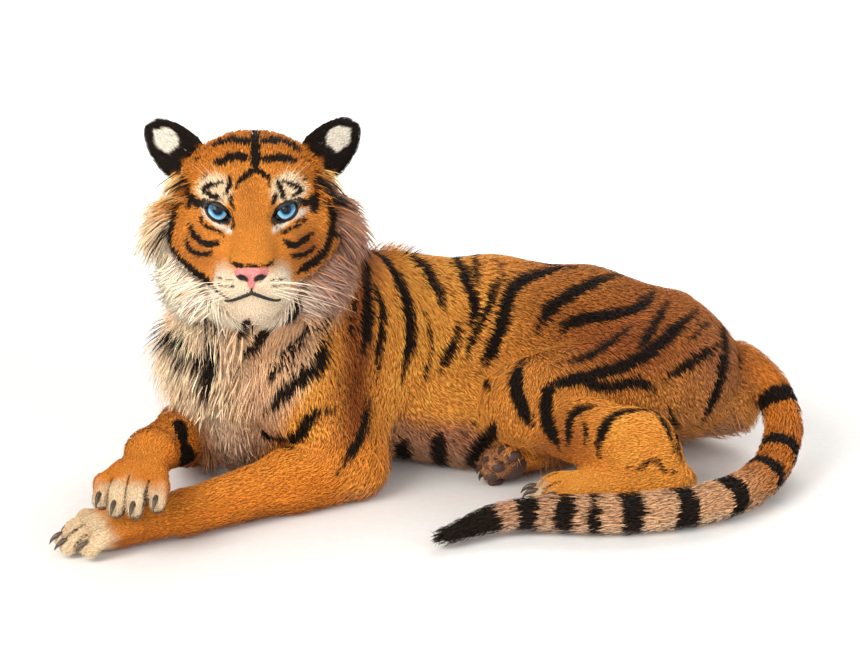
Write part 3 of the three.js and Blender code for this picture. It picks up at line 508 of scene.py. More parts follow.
PAW_OF: dict[Part, str] = {
    Part.FORE_LEFT: "forepaw_left", Part.FORE_RIGHT: "forepaw_right",
    Part.HIND_LEFT: "hind_foot_left", Part.FOOT_RIGHT: "hind_foot_right",
}


@dataclass
class Tail:
    """The tail: a round tube along a smooth path, thick at its root and thin at its tip."""

    root_radius: float = 48
    radius: float = 40
    tip_radius: float = 20
    root_share: float = 0.12
    taper_from: float = 0.72
    stations: int = 56
    clear: float = 50
    fore_end: float = -40
    top: float = 320

    def __post_init__(self) -> None:
        """Works out the stations along the path, evenly spaced, and the radius at each."""
        fine = self._catmull_rom(np.array(TAIL_PATH, dtype=float))
        run = np.r_[0, np.cumsum(np.linalg.norm(np.diff(fine, axis=0), axis=1))]
        self.share = np.linspace(0, 1, self.stations)
        self.length = float(run[-1])
        self.points = np.stack([np.interp(self.share * run[-1], run, fine[:, k]) for k in range(3)], axis=1)
        thin = np.maximum(0, (self.share - self.taper_from) / (1 - self.taper_from)) ** 1.6
        thick = np.maximum(0, 1 - self.share / self.root_share)
        self.radii = (self.radius + thick * (self.root_radius - self.radius)
                      - thin * (self.radius - self.tip_radius))
        self.ways = unit(np.gradient(self.points, axis=0))

    @staticmethod
    def _catmull_rom(knots: Array, each: int = 24) -> Array:
        """A centripetal Catmull-Rom curve through knots, by Neville's scheme on knot times √distance.

        Args:
            knots: the points that it passes through.
            each: samples between two knots.

        Returns:
            The samples in order.
        """
        ends = np.vstack([2 * knots[0] - knots[1], knots, 2 * knots[-1] - knots[-2]])
        out = []
        for p0, p1, p2, p3 in zip(ends, ends[1:], ends[2:], ends[3:]):
            gaps = [math.sqrt(np.linalg.norm(b - a)) for a, b in ((p0, p1), (p1, p2), (p2, p3))]
            t0, t1, t2, t3 = np.cumsum([0, *gaps])
            t = np.linspace(t1, t2, each, endpoint=False)[:, None]
            a1 = (t1 - t) / (t1 - t0) * p0 + (t - t0) / (t1 - t0) * p1
            a2 = (t2 - t) / (t2 - t1) * p1 + (t - t1) / (t2 - t1) * p2
            a3 = (t3 - t) / (t3 - t2) * p2 + (t - t2) / (t3 - t2) * p3
            b1 = (t2 - t) / (t2 - t0) * a1 + (t - t0) / (t2 - t0) * a2
            b2 = (t3 - t) / (t3 - t1) * a2 + (t - t1) / (t3 - t1) * a3
            out.append((t2 - t) / (t2 - t1) * b1 + (t - t1) / (t2 - t1) * b2)
        return np.vstack([*out, knots[-1:]])

    def nearest(self, p: Array) -> tuple[Array, Array]:
        """The distance to the tube and the share of its length at the nearest point, over all its segments.

        Points beyond the box round the tail are taken as `clear` away.

        Args:
            p: points, one a row.

        Returns:
            Distances and shares.
        """
        best, share = np.full(len(p), self.clear), np.zeros(len(p))
        index = np.nonzero((p[:, 0] > self.fore_end) & (p[:, 2] < self.top))[0]
        q = p[index]
        b_best, b_share = np.full(len(q), 1e9), np.zeros(len(q))
        for i in range(self.stations - 1):
            offset, t = off_link(q, self.points[i], self.points[i + 1])
            d = lengths(offset) - self.radii[i] - (self.radii[i + 1] - self.radii[i]) * t
            closer = d < b_best
            b_best[closer] = d[closer]
            b_share[closer] = (self.share[i] + t * (self.share[i + 1] - self.share[i]))[closer]
        best[index], share[index] = b_best, b_share
        return best, share


@dataclass
class Body:
    """All the flesh: head, trunk, legs and tail as fields, and the skin's depth under the coat's tips.

    `depths` and `blends` have a number for each part: the coat's depth, and how softly it joins those before.
    """

    head: Head = field(default_factory=Head)
    tail: Tail = field(default_factory=Tail)
    depths: tuple[float, ...] = (6, 9, 6, 6, 7, 4, 8)
    blends: tuple[float, ...] = (0, 55, 16, 4, 16, 5, 8)
    floor: float = 1.5
    floor_blend: float = 8

    def __post_init__(self) -> None:
        """Sets up the bones of the trunk and legs from the landmarks."""
        at = LANDMARKS
        fore = {"width": 132, "thick": 37, "spread": 0.62, "rise": 10}
        hind = {"width": 104, "thick": 34, "spread": 0.78, "rise": 6}
        self.paws = {
            "forepaw_left": Paw(at["wrist_l"], at["toes_l"], **fore),
            "forepaw_right": Paw(at["wrist_r"], at["toes_r"], **fore),
            "hind_foot_left": Paw(at["heel_l"], at["foot_l"], **hind),
            "hind_foot_right": Paw(at["heel_r"], at["foot_r"], **hind, roll=52),
        }
        self.trunk = {
            "rump": Bone(at["hip"], at["rump_end"], 134, 94, 50),
            "hips": Bone(at["loin"], at["hip"], 152, 134, 60, 1.12),
            "loin": Bone(at["ribs"], at["loin"], 162, 150, 60, 1.16),
            "ribs": Bone(at["withers"], at["ribs"], 164, 162, 60, 1.16),
            "shoulders": Bone(at["breast_root"], at["withers"], 146, 164, 60, 1.16),
            "breast": Ball(at["breast"], vec(112, 135, 164), 60, 35),
            "belly": Ball(at["belly"], vec(230, 140, 112), 60),
            "neck": Bone(at["nape"], at["skull_base"], 128, 104, 90),
            "throat": Bone(at["throat_low"], at["throat_high"], 118, 92, 70),
            "blade_left": Bone(at["blade_l"], at["shoulder_l"], 62, 84, 40),
            "upper_arm_left": Bone(at["shoulder_l"], at["elbow_l"], 90, 60, 40),
            "triceps_left": Bone(at["blade_l"], at["elbow_l"], 74, 60, 40),
            "blade_right": Bone(at["blade_r"], at["shoulder_r"], 62, 84, 40),
            "upper_arm_right": Bone(at["shoulder_r"], at["elbow_r"], 88, 66, 40),
            "thigh_left": Bone(at["hip_l"], at["knee_l"], 120, 84, 45),
            "thigh_right": Bone(at["hip_r"], at["knee_r"], 118, 84, 45),
        }
        self.limbs = {
            Part.FORE_LEFT: self._foreleg(at["elbow_l"], at["wrist_l"], self.paws["forepaw_left"]),
            Part.FORE_RIGHT: self._foreleg(at["elbow_r"], at["wrist_r"], self.paws["forepaw_right"]),
            Part.HIND_LEFT: [Bone(at["knee_l"], at["calf_l"], 74, 66, 30),
                             Bone(at["calf_l"], at["heel_l"], 66, 44, 30),
                             Ball(at["calf_l"], vec(76, 62, 78), 30),
                             *self.paws["hind_foot_left"].shapes],
            Part.FOOT_RIGHT: self.paws["hind_foot_right"].shapes,
        }

    @staticmethod
    def _foreleg(elbow: Array, wrist: Array, paw: Paw) -> list:
        """A forearm that is thickest by the elbow, and its paw."""
        return [Bone(elbow, wrist, 66, 43, 30),
                Bone(elbow, elbow + (wrist - elbow) * 0.35, 68, 60, 30), *paw.shapes]

    def parts(self, p: Array) -> Array:
        """The distance of each point to each part, one row a part, in the order of Part.

        Args:
            p: model points, one a row.

        Returns:
            Seven rows of distances.
        """
        rows = np.empty((len(Part), len(p)))
        rows[Part.HEAD] = self.head.distance(self.head.to_local(p))
        rows[Part.TRUNK] = melt(list(self.trunk.values()), p)
        for part, shapes in self.limbs.items():
            rows[part] = melt(shapes, p)
        rows[Part.TAIL] = self.tail.nearest(p)[0]
        return rows

    def outer(self, rows: Array) -> Array:
        """The field of the whole, out to the tips of the short coat: all the parts softened together.

        Args:
            rows: the points' distances to the parts.

        Returns:
            One distance a point.
        """
        total = rows[Part.HEAD]
        for part in list(Part)[1:]:
            total = soften(total, rows[part], self.blends[part])
        return total

    def outline(self, p: Array) -> Array:
        """The field of the whole at model points."""
        return self.outer(self.parts(p))

    def depth(self, p: Array, rows: Array) -> Array:
        """How far the skin lies under the coat's tips: each part's depth weighed by exp(−distance / 14).

        The face and the paws have the thinnest coat.

        Args:
            p: model points.
            rows: their distances to the parts.

        Returns:
            Depths in millimetres.
        """
        weight = np.exp(-np.maximum(rows, 0) / 14)
        depth = np.repeat(np.array(self.depths)[:, None], len(p), axis=1)
        local = self.head.to_local(p)
        depth[Part.HEAD] = 8 - 5.2 * smooth(-70, 10, local[:, 1])
        for part in (Part.FORE_LEFT, Part.FORE_RIGHT, Part.HIND_LEFT):
            away = np.linalg.norm(p - self.paws[PAW_OF[part]].tip, axis=1)
            depth[part] = 3 + 3.5 * smooth(60, 240, away)
        return (weight * depth).sum(axis=0) / weight.sum(axis=0)

    def skin(self, p: Array) -> Array:
        """The skin's field: the whole less the coat's depth, cut flat just above the floor.

        Args:
            p: model points.

        Returns:
            One distance a point, 0 on the skin.
        """
        rows = self.parts(p)
        inner = self.outer(rows) + self.depth(p, rows)
        local = self.head.to_local(p)
        face = np.nonzero((local[:, 1] > 0) & (local[:, 2] > -175) & (local[:, 2] < 60))[0]
        if len(face):
            inner[face] = hollow(inner[face], self.head.openings(local[face]), 2.5)
        return -soften(-inner, p[:, 2] - self.floor, self.floor_blend)

    def outward(self, p: Array, step: float = 2.0) -> Array:
        """The way out of the skin at points, by central differences of its field.

        Args:
            p: model points.
            step: the half length of a difference.

        Returns:
            Unit ways.
        """
        offsets = np.vstack([np.eye(3), -np.eye(3)]) * step
        values = self.skin((p[None] + offsets[:, None]).reshape(-1, 3)).reshape(6, -1)
        return unit((values[:3] - values[3:]).T)

    def settle(self, p: Array, rounds: int = 2) -> Array:
        """Points moved onto the skin by Newton's steps p − f n.

        Args:
            p: model points.
            rounds: how many steps.

        Returns:
            The moved points.
        """
        for _ in range(rounds):
            p = p - self.skin(p)[:, None] * self.outward(p)
        return p


# ---- From fields and grids to meshes ----

def ticks(low: float, high: float, coarse: float, fine: float, start: float, stop: float) -> Array:
    """Lattice places from low to high: `fine` apart from start to stop, growing to `coarse` elsewhere.

    Args:
        low: the first place.
        high: what the last place reaches.
        coarse: the widest step.
        fine: the step of the fine stretch.
        start: where the fine stretch starts.
        stop: where it ends.

    Returns:
        The places, in order.
    """
    places = [low]
    while places[-1] < high:
        away = max(start - places[-1], places[-1] - stop, 0)
        places.append(places[-1] + min(coarse, fine + away * 0.3))
    return np.array(places)


CORNERS = tuple(product((0, 1), repeat=3))


@dataclass
class Lattice:
    """A field on a lattice, and its surface: a point in each crossed cell, a quad round each crossed edge.

    The field is worked out finely only in blocks of cells near the surface. A block is left out if the field
    at all its corners is more than slack · half its diagonal + margin.
    """

    distance: Field
    axes: tuple[Array, Array, Array]
    block: int = 4
    slack: float = 1.2
    margin: float = 4

    def __post_init__(self) -> None:
        """Samples the field and lists the cells that the surface crosses."""
        self.value = self._sample()
        self.inside = self.value < 0
        x, y, z = (n - 1 for n in self.value.shape)
        count = sum(self.inside[i:x + i, j:y + j, k:z + k].astype(np.int8) for i, j, k in CORNERS)
        self.cells = np.nonzero((count > 0) & (count < len(CORNERS)))

    def _sample(self) -> Array:
        """The field at every place of the lattice; far places get the value at their block's corner.

        Returns:
            One value a place.
        """
        marks = [np.unique(np.r_[np.arange(0, len(a), self.block), len(a) - 1]) for a in self.axes]
        rough = [a[m] for a, m in zip(self.axes, marks)]
        grid = np.stack(np.meshgrid(*rough, indexing="ij"), axis=-1)
        coarse = self.distance(grid.reshape(-1, 3)).reshape(grid.shape[:3])
        dx, dy, dz = (np.diff(a) for a in rough)
        half = np.sqrt(dx[:, None, None] ** 2 + dy[None, :, None] ** 2 + dz ** 2) / 2
        x, y, z = half.shape
        least = np.min([np.abs(coarse[i:i + x, j:j + y, k:k + z]) for i, j, k in CORNERS], axis=0)
        active = least < half * self.slack + self.margin

        def blocks(shift: tuple[int, int, int]) -> tuple:
            """The block that holds each place of the lattice after a step back, along each axis."""
            held = (np.searchsorted(m, np.arange(len(a)) - s, side="right") - 1
                    for a, m, s in zip(self.axes, marks, shift))
            return np.ix_(*(np.clip(block, 0, len(m) - 2) for block, m in zip(held, marks)))

        value = coarse[blocks((0, 0, 0))]
        index = np.nonzero(np.any([active[blocks(corner)] for corner in CORNERS], axis=0))
        value[index] = self.distance(np.stack([a[n] for a, n in zip(self.axes, index)], axis=1))
        return value

    def points(self) -> Array:
        """In each crossed cell, the mean of the places on its edges where the field is 0.

        Returns:
            One point a crossed cell.
        """
        total, hits = np.zeros((len(self.cells[0]), 3)), np.zeros(len(self.cells[0]))
        for axis, u, v in product(range(3), (0, 1), (0, 1)):
            first, second = (a for a in range(3) if a != axis)
            low = list(self.cells)
            low[first] = low[first] + u
            low[second] = low[second] + v
            high = list(low)
            high[axis] = high[axis] + 1
            a, b = self.value[tuple(low)], self.value[tuple(high)]
            crossed = (a < 0) != (b < 0)
            t = np.where(crossed, a / np.where(crossed, a - b, 1), 0)
            spot = np.stack([line[n] for line, n in zip(self.axes, low)], axis=1)
            spot[:, axis] += t * (self.axes[axis][high[axis]] - self.axes[axis][low[axis]])
            total += spot * crossed[:, None]
            hits += crossed
        return total / hits[:, None]

    def quads(self) -> Array:
        """A quad through the four cells round each crossed edge, its face outward.

        Returns:
            Four point numbers a quad.
        """
        cell = np.full(self.value.shape, -1, dtype=np.int64)
        cell[self.cells] = np.arange(len(self.cells[0]))
        steps = np.eye(3, dtype=int)
        sheets = []
        for axis in range(3):
            p, q = (steps[a] for a in range(3) if a != axis)
            here = [slice(1, -1)] * 3
            here[axis] = slice(0, -1)
            ahead = list(here)
            ahead[axis] = slice(1, None)
            changed = self.inside[tuple(here)] != self.inside[tuple(ahead)]
            base = np.stack(np.nonzero(changed), axis=1) + p + q
            faces = np.stack([cell[tuple(r.T)] for r in (base - p - q, base - q, base, base - p)], axis=1)
            solid = self.inside[tuple(base.T)]
            flip = solid if axis == 1 else ~solid
            faces[flip] = faces[flip][:, ::-1]
            sheets.append(faces)
        faces = np.vstack(sheets)
        return faces[(faces >= 0).all(axis=1)]


def grid_faces(rows: int, columns: int, round_columns: bool = False, start: int = 0) -> Array:
    """The quads of a grid of points, row after row.

    Args:
        rows: how many rows of points.
        columns: how many points a row.
        round_columns: whether the last column meets the first.
        start: the number of the first point.

    Returns:
        Four point numbers a quad.
    """
    last = columns if round_columns else columns - 1
    r, c = (a.ravel() for a in np.meshgrid(np.arange(rows - 1), np.arange(last), indexing="ij"))
    after = (c + 1) % columns
    return start + np.stack([r * columns + c, r * columns + after,
                             (r + 1) * columns + after, (r + 1) * columns + c], axis=1)


@dataclass
class Placement:
    """Where the model frame lies in the shared frame, read from the two eyes of the fixed model."""

    head: Head

    def __post_init__(self) -> None:
        """Finds the shift: the front poles of the eyes lie eye_radius out, on their own local y."""
        poles = []
        for name in ("eye_left", "eye_right"):
            mesh = bpy.data.objects[name].data
            spots = np.empty(len(mesh.vertices) * 3, dtype=np.float32)
            mesh.vertices.foreach_get("co", spots)
            spots = spots.reshape(-1, 3).astype(float) * 1000
            poles.append(spots[spots[:, 1].argmin()])
        local = vec(0, self.head.eye_deep + self.head.eye_radius, 0)
        self.shift = (poles[0] + poles[1]) / 2 - self.head.to_model(local[None])[0]

    def metres(self, p: Array) -> Array:
        """Model millimetres as metres of the shared frame."""
        return (p + self.shift) / 1000


@dataclass
class Maker:
    """Puts arrays into Blender meshes at their place, and hands them to the frame."""

    placement: Placement

    def mesh(self, name: str, points: Array, faces: Array, material: Material, slot: str,
             replaces: list[str] | None = None, colours: dict[str, Array] | None = None,
             values: dict[str, Array] | None = None, uv: tuple[str, Array] | None = None,
             stage: bool = False) -> bpy.types.Object:
        """One mesh object from whole arrays.

        Args:
            name: the piece's name.
            points: its vertices in model millimetres.
            faces: rows of three or four vertex numbers.
            material: its finish.
            slot: the record's material slot; not used.
            replaces: the nodes that it stands for.
            colours: colour attributes by name, one row a vertex.
            values: number attributes by name, one a vertex.
            uv: a UV map's name and its places, one row a corner.
            stage: whether it's no part of the animal.

        Returns:
            The object.
        """
        mesh = bpy.data.meshes.new(name)
        sides = faces.shape[1]
        mesh.vertices.add(len(points))
        mesh.vertices.foreach_set("co", self.placement.metres(points).astype(np.float32).ravel())
        mesh.loops.add(faces.size)
        mesh.loops.foreach_set("vertex_index", faces.astype(np.int32).ravel())
        mesh.polygons.add(len(faces))
        mesh.polygons.foreach_set("loop_start", np.arange(0, faces.size, sides, dtype=np.int32))
        mesh.update(calc_edges=True)
        mesh.polygons.foreach_set("use_smooth", np.ones(len(faces), dtype=bool))
        for key, rows in (colours or {}).items():
            layer = mesh.color_attributes.new(key, "FLOAT_COLOR", "POINT")
            layer.data.foreach_set("color", np.c_[rows, np.ones(len(rows))].astype(np.float32).ravel())
        for key, numbers in (values or {}).items():
            layer = mesh.attributes.new(key, "FLOAT", "POINT")
            layer.data.foreach_set("value", numbers.astype(np.float32))
        if uv:
            layer = mesh.uv_layers.new(name=uv[0])
            layer.data.foreach_set("uv", uv[1].astype(np.float32).ravel())
        mesh.materials.append(material)
        piece = bpy.data.objects.new(name, mesh)
        bpy.context.scene.collection.objects.link(piece)
        if stage:
            return piece
        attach(piece, "root")
        if replaces:
            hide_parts(*replaces)
        log.info("%s: %d vertices, %d faces", name, len(points), len(faces))
        return piece


# ---- The camera ----

@dataclass
class Viewpoint:
    """The camera: its distance to a target in the model frame, its height angle and its lens."""

    target: Array = start_at(0, 0, 271)
    distance: float = 3961
    elevation: float = 15
    lens: float = 85
    sensor: float = 36
    width: int = 860
    height: int = 645
    steps: int = 70
    near: float = 0.5
    stride: float = 0.85

    def __post_init__(self) -> None:
        """Works out where it stands, which ways its picture runs and a pixel's size at distance 1."""
        e = math.radians(self.elevation)
        self.back = vec(0, -math.cos(e), math.sin(e))
        self.right = vec(1, 0, 0)
        self.up = vec(0, math.sin(e), math.cos(e))
        self.place = self.target + self.back * self.distance
        self.pixel = self.sensor / self.lens / self.width

    def rays(self, pixels: Array) -> Array:
        """The unit ways from the camera through pixels: −back + right (x − w/2) s + up (h/2 − y) s.

        Args:
            pixels: pixel places, one a row.

        Returns:
            One way a row.
        """
        x = (pixels[:, 0] - self.width / 2) * self.pixel
        y = (self.height / 2 - pixels[:, 1]) * self.pixel
        return unit(-self.back + x[:, None] * self.right + y[:, None] * self.up)

    def cast(self, pixels: Array, distance: Field, reach: float = 900) -> Array:
        """Where pixels meet a field, by marching along their rays.

        A step is stride · the field's value, and at least stride · near. A ray that misses stays where it
        came nearest.

        Args:
            pixels: pixel places, one a row.
            distance: the field.
            reach: how far before and past the target it looks.

        Returns:
            One point a row.
        """
        ways = self.rays(pixels)
        t = np.full(len(pixels), self.distance - reach)
        best, best_t = np.full(len(pixels), 1e9), t.copy()
        for _ in range(self.steps):
            value = distance(self.place + t[:, None] * ways)
            closer = (value < best) & (best > self.near)
            best, best_t = np.where(closer, value, best), np.where(closer, t, best_t)
            onward = np.minimum(t + np.maximum(value, self.near) * self.stride, self.distance + reach)
            t = np.where(best > self.near, onward, t)
        return self.place + best_t[:, None] * ways

    def build(self, placement: Placement) -> None:
        """Makes the camera.

        Args:
            placement: turns model points into metres.
        """
        data = bpy.data.cameras.new("camera")
        data.lens, data.sensor_width, data.clip_end = self.lens, self.sensor, 60
        camera = bpy.data.objects.new("camera", data)
        camera.location = placement.metres(self.place[None])[0]
        camera.rotation_euler = (math.radians(90 - self.elevation), 0, 0)
        bpy.context.scene.collection.objects.link(camera)
        bpy.context.scene.camera = camera


# ---- Markings ----

def linear(red: float, green: float, blue: float) -> Array:
    """A display colour of 0..255 as linear light: ((c + 0.055) / 1.055)^2.4, or c / 12.92 where it's dark."""
    c = vec(red, green, blue) / 255
    return np.where(c > 0.04045, ((c + 0.055) / 1.055) ** 2.4, c / 12.92)


def curve_through(knots: Array, each: int) -> Array:
    """A smooth curve through knots: uniform Catmull-Rom, with its ends carried straight on.

    Between p1 and p2 it is half of 2 p1 + (p2 − p0) t + (2 p0 − 5 p1 + 4 p2 − p3) t² + (3 p1 − p0 − 3 p2
    + p3) t³.

    Args:
        knots: the points that it passes through.
        each: samples between two knots.

    Returns:
        The samples in order.
    """
    p = np.vstack([2 * knots[0] - knots[1], knots, 2 * knots[-1] - knots[-2]])
    t = np.linspace(0, 1, each, endpoint=False)[None, :, None]
    p0, p1, p2, p3 = (p[i:len(p) - 3 + i, None] for i in range(4))
    out = 0.5 * (2 * p1 + (p2 - p0) * t + (2 * p0 - 5 * p1 + 4 * p2 - p3) * t ** 2
                 + (3 * p1 - p0 - 3 * p2 + p3) * t ** 3)
    return np.vstack([out.reshape(-1, knots.shape[1]), knots[-1:]])


class Side(Enum):
    """Where a stripe of the list is drawn."""

    HERE = "only where it is listed"
    BOTH = "there, and mirrored over the spine"


@dataclass(frozen=True)
class Stripe:
    """A stripe: the pixels that its middle passes, its greatest width there, and how it starts and ends."""

    width: float
    path: tuple[Pixel, ...]
    start: float = 0.25
    end: float = 0.2
    side: Side = Side.HERE


FACE_BORDER = Stripe(9, ((172, 195), (173, 208), (171, 222), (168, 236), (169, 246), (176, 256), (185, 266),
                         (197, 275), (208, 284), (217, 292), (230, 301)), 0.3, 0.15)

FACE_STRIPES: tuple[Stripe, ...] = (
    # the forehead
    Stripe(8, ((255, 127), (255, 146), (256, 158), (254, 170)), 0.9, 0.3),
    Stripe(10, ((208, 145), (218, 140), (231, 137), (245, 139), (256, 142))),
    Stripe(10, ((256, 142), (272, 138), (286, 139), (297, 145), (306, 150))),
    Stripe(8.5, ((212, 161), (222, 160), (231, 156), (244, 156), (256, 157))),
    Stripe(8.5, ((256, 157), (268, 158), (279, 156), (290, 158), (300, 160))),
    Stripe(3.5, ((194, 161), (199, 154))),
    Stripe(3, ((300, 156), (308, 158), (312, 164))),
    # over the eyes
    Stripe(5.5, ((236, 189), (239, 181), (247, 175), (255, 169), (264, 173), (269, 179), (271, 187))),
    Stripe(5.5, ((222, 181), (213, 184), (203, 189), (208, 194), (218, 198), (225, 202)), 0.3, 0.1),
    Stripe(5, ((228, 175), (230, 183), (227, 190), (224, 196)), 0.4, 0.2),
    Stripe(4.5, ((232, 195), (230, 203), (235, 210)), 0.4, 0.4),
    Stripe(5.5, ((277, 179), (281, 188), (284, 200)), 0.3, 0.6),
    Stripe(5.5, ((280, 180), (291, 184), (301, 189), (297, 194), (291, 199)), 0.15, 0.3),
    Stripe(4.5, ((278, 193), (275, 200), (274, 206)), 0.4, 0.4),
    Stripe(3, ((200, 180), (204, 175), (210, 171))),
    Stripe(3, ((300, 170), (305, 174), (306, 181))),
    # out from the eyes
    Stripe(8, ((176, 172), (181, 184), (187, 196), (196, 203), (206, 205)), 0.35, 0.45),
    Stripe(6, ((186, 196), (188, 208)), 0.7, 0.3),
    Stripe(7, ((300, 204), (309, 202), (318, 196), (323, 188), (322, 176)), 0.4, 0.4),
    Stripe(10, ((314, 208), (318, 196)), 0.8, 0.8),
    # under the eyes, and on the cheeks
    Stripe(4.2, ((200, 213), (203, 223), (211, 228), (219, 230), (223, 236)), 0.4, 0.4),
    Stripe(4.2, ((307, 214), (303, 221), (293, 227), (285, 230), (281, 235)), 0.4, 0.4),
    Stripe(6, ((189, 221), (192, 233), (198, 241), (207, 244), (217, 243), (225, 240)), 0.3, 0.1),
    Stripe(6, ((186, 237), (188, 248), (195, 254), (204, 255), (214, 252))),
    Stripe(6, ((284, 239), (290, 246), (299, 244), (308, 238), (315, 230))),
    Stripe(6, ((290, 254), (299, 257), (308, 254), (317, 245)), 0.2, 0.3),
    FACE_BORDER,
    Stripe(10, ((317, 168), (322, 180), (331, 192), (334, 208), (333, 226), (330, 240), (324, 254),
                 (313, 264), (303, 270), (296, 273)), 0.2, 0.25),
    Stripe(5, ((330, 234), (343, 236))),
    # over the nose, and at the corners of the eyes
    Stripe(4.2, ((229, 258), (231, 263), (238, 266), (252, 267), (266, 266), (273, 263), (275, 258)),
           0.5, 0.5),
    Stripe(4.6, ((228, 211), (231, 218), (232, 224), (230, 230)), 0.9, 0.3),
    Stripe(4.6, ((279, 209), (276, 215), (275, 221), (277, 228)), 0.9, 0.3),
    Stripe(5, ((209, 203), (204, 203), (196, 203)), 0.9, 0.7),
    Stripe(5, ((296, 201), (302, 201), (311, 199)), 0.9, 0.7),
    # the rows of whiskers, and the jowl
    Stripe(1.3, ((216, 277), (224, 279), (233, 281)), 0.6, 0.6),
    Stripe(1.3, ((217, 284), (225, 286), (234, 287)), 0.6, 0.6),
    Stripe(1.3, ((288, 277), (280, 279), (271, 281)), 0.6, 0.6),
    Stripe(1.3, ((286, 284), (279, 286), (270, 287)), 0.6, 0.6),
    Stripe(2.4, ((206, 276), (212, 286), (222, 296), (231, 301)), 0.3, 0.6),
)

CHEST_STRIPES: tuple[Stripe, ...] = (
    Stripe(10, ((156, 321), (168, 332), (182, 346), (196, 358), (206, 366)), 0.2, 0.7),
    Stripe(8, ((211, 332), (216, 347), (214, 362), (209, 378), (207, 392))),
    Stripe(5, ((204, 315), (213, 317), (221, 324), (225, 333))),
    Stripe(3, ((188, 316), (196, 320))),
    Stripe(6, ((249, 320), (243, 329), (238, 343))),
    Stripe(8, ((300, 298), (293, 310), (280, 322), (266, 332), (256, 346), (243, 357)), 0.15, 0.4),
    Stripe(8, ((322, 300), (316, 320), (307, 335), (296, 348), (280, 358), (270, 364))),
    Stripe(4, ((333, 300), (329, 322), (327, 338)), 0.2, 0.6),
    Stripe(9, ((336, 330), (328, 346), (320, 364), (306, 376), (292, 386), (278, 402), (262, 414)),
           0.15, 0.2),
    Stripe(4.5, ((297, 362), (284, 368), (275, 374), (267, 382))),
    Stripe(8, ((259, 432), (268, 439), (285, 443), (298, 438), (308, 424), (319, 413), (337, 411))),
    Stripe(5, ((356, 292), (354, 320), (349, 348))),
    Stripe(10, ((366, 248), (368, 275), (370, 305), (368, 335), (362, 362)), 0.6, 0.1, Side.BOTH),
    Stripe(7, ((374, 280), (382, 300), (385, 318), (381, 350), (377, 388)), 0.2, 0.1, Side.BOTH),
    Stripe(7, ((370, 392), (368, 415), (362, 436), (352, 452), (337, 474)), 0.3, 0.1),
    # the inner right arm, and painted shade between the toes of the left forepaw
    Stripe(14, ((183, 420), (185, 442), (190, 464)), 0.5, 0.8),
    Stripe(2.2, ((98, 527), (90, 533), (80, 541), (76, 549), (76, 556)), 0.5, 0.8),
    Stripe(2.2, ((84, 524), (74, 530), (64, 537), (60, 543)), 0.4, 0.8),
)

BACK_STRIPES: tuple[Stripe, ...] = tuple(Stripe(w, path, start, end, Side.BOTH) for w, path, start, end in (
    (12, ((376, 250), (388, 259), (398, 272), (405, 290), (410, 308), (413, 330), (411, 352), (406, 372),
          (403, 388)), 0.5, 0.12),
    (11, ((410, 252), (424, 261), (433, 276), (441, 292), (446, 316)), 0.6, 0.1),
    (4, ((443, 269), (451, 285), (456, 305)), 0.3, 0.2),
    (11, ((452, 253), (463, 266), (469, 283), (475, 300), (474, 316), (466, 332)), 0.5, 0.15),
    (8, ((474, 254), (477, 268), (477, 284)), 0.5, 0.3),
    (9, ((460, 320), (458, 336), (451, 352), (438, 374)), 0.2, 0.25),
    (8, ((520, 266), (504, 274), (493, 290), (487, 312), (478, 330), (470, 346), (467, 362)), 0.1, 0.3),
    (5, ((488, 258), (500, 259), (499, 270)), 0.4, 0.4),
    (12, ((580, 263), (560, 264), (538, 271), (518, 281), (508, 298), (503, 320), (494, 345), (486, 362),
          (484, 376)), 0.3, 0.3),
    (8, ((482, 366), (482, 378), (490, 392)), 0.4, 0.1),
    (12, ((622, 272), (600, 277), (578, 288), (558, 301), (543, 318), (532, 342)), 0.3, 0.08),
    (12, ((655, 287), (645, 300), (628, 309), (604, 314), (580, 318), (560, 330), (546, 350)), 0.4, 0.08),
    (9, ((636, 320), (618, 334), (600, 347), (580, 357), (553, 364)), 0.15, 0.1),
    (9, ((668, 298), (660, 312), (651, 328), (643, 342), (635, 352)), 0.4, 0.2),
    (12, ((698, 308), (680, 323), (664, 338), (645, 354), (628, 363), (605, 371), (580, 377), (560, 382),
          (549, 390)), 0.4, 0.3),
    (10, ((575, 377), (592, 384), (614, 386), (636, 382), (650, 387), (658, 396)), 0.3, 0.15),
    (11, ((560, 380), (550, 388), (547, 404), (548, 424), (554, 440), (560, 452)), 0.4, 0.15),
    (12, ((724, 325), (727, 345), (725, 366), (720, 388), (712, 408), (700, 428)), 0.6, 0.08),
    (9, ((722, 342), (708, 352), (694, 361), (676, 372), (660, 384)), 0.4, 0.08),
    (7, ((741, 333), (742, 352), (741, 372)), 0.5, 0.2),
    (5, ((712, 316), (698, 332), (686, 344)), 0.3, 0.2),
))

FLANK_STRIPES: tuple[Stripe, ...] = (
    Stripe(5, ((421, 302), (430, 325), (432, 350), (426, 376), (416, 404)), 0.1, 0.1),
    Stripe(12, ((527, 352), (517, 370), (516, 388), (522, 408), (532, 426)), 0.1, 0.4),
    Stripe(14, ((406, 442), (402, 454), (406, 468), (414, 480)), 0.25, 0.8),
    Stripe(15, ((441, 432), (438, 450), (441, 468), (446, 480)), 0.15, 0.8),
    Stripe(13, ((494, 424), (488, 438), (478, 450), (470, 466)), 0.3, 0.8),
    Stripe(7, ((568, 450), (568, 432), (572, 416), (584, 407), (600, 405)), 0.3, 0.3),
    Stripe(5, ((585, 447), (586, 432), (584, 420))),
    Stripe(8, ((598, 458), (600, 440), (607, 422), (620, 411), (640, 408), (656, 411), (668, 424),
               (674, 442), (680, 458)), 0.4, 0.3),
    Stripe(5.5, ((669, 406), (675, 424), (680, 444), (683, 462)), 0.2, 0.4),
    Stripe(4.5, ((628, 468), (640, 469), (650, 461), (660, 463), (668, 471), (680, 470)), 0.3, 0.3),
)

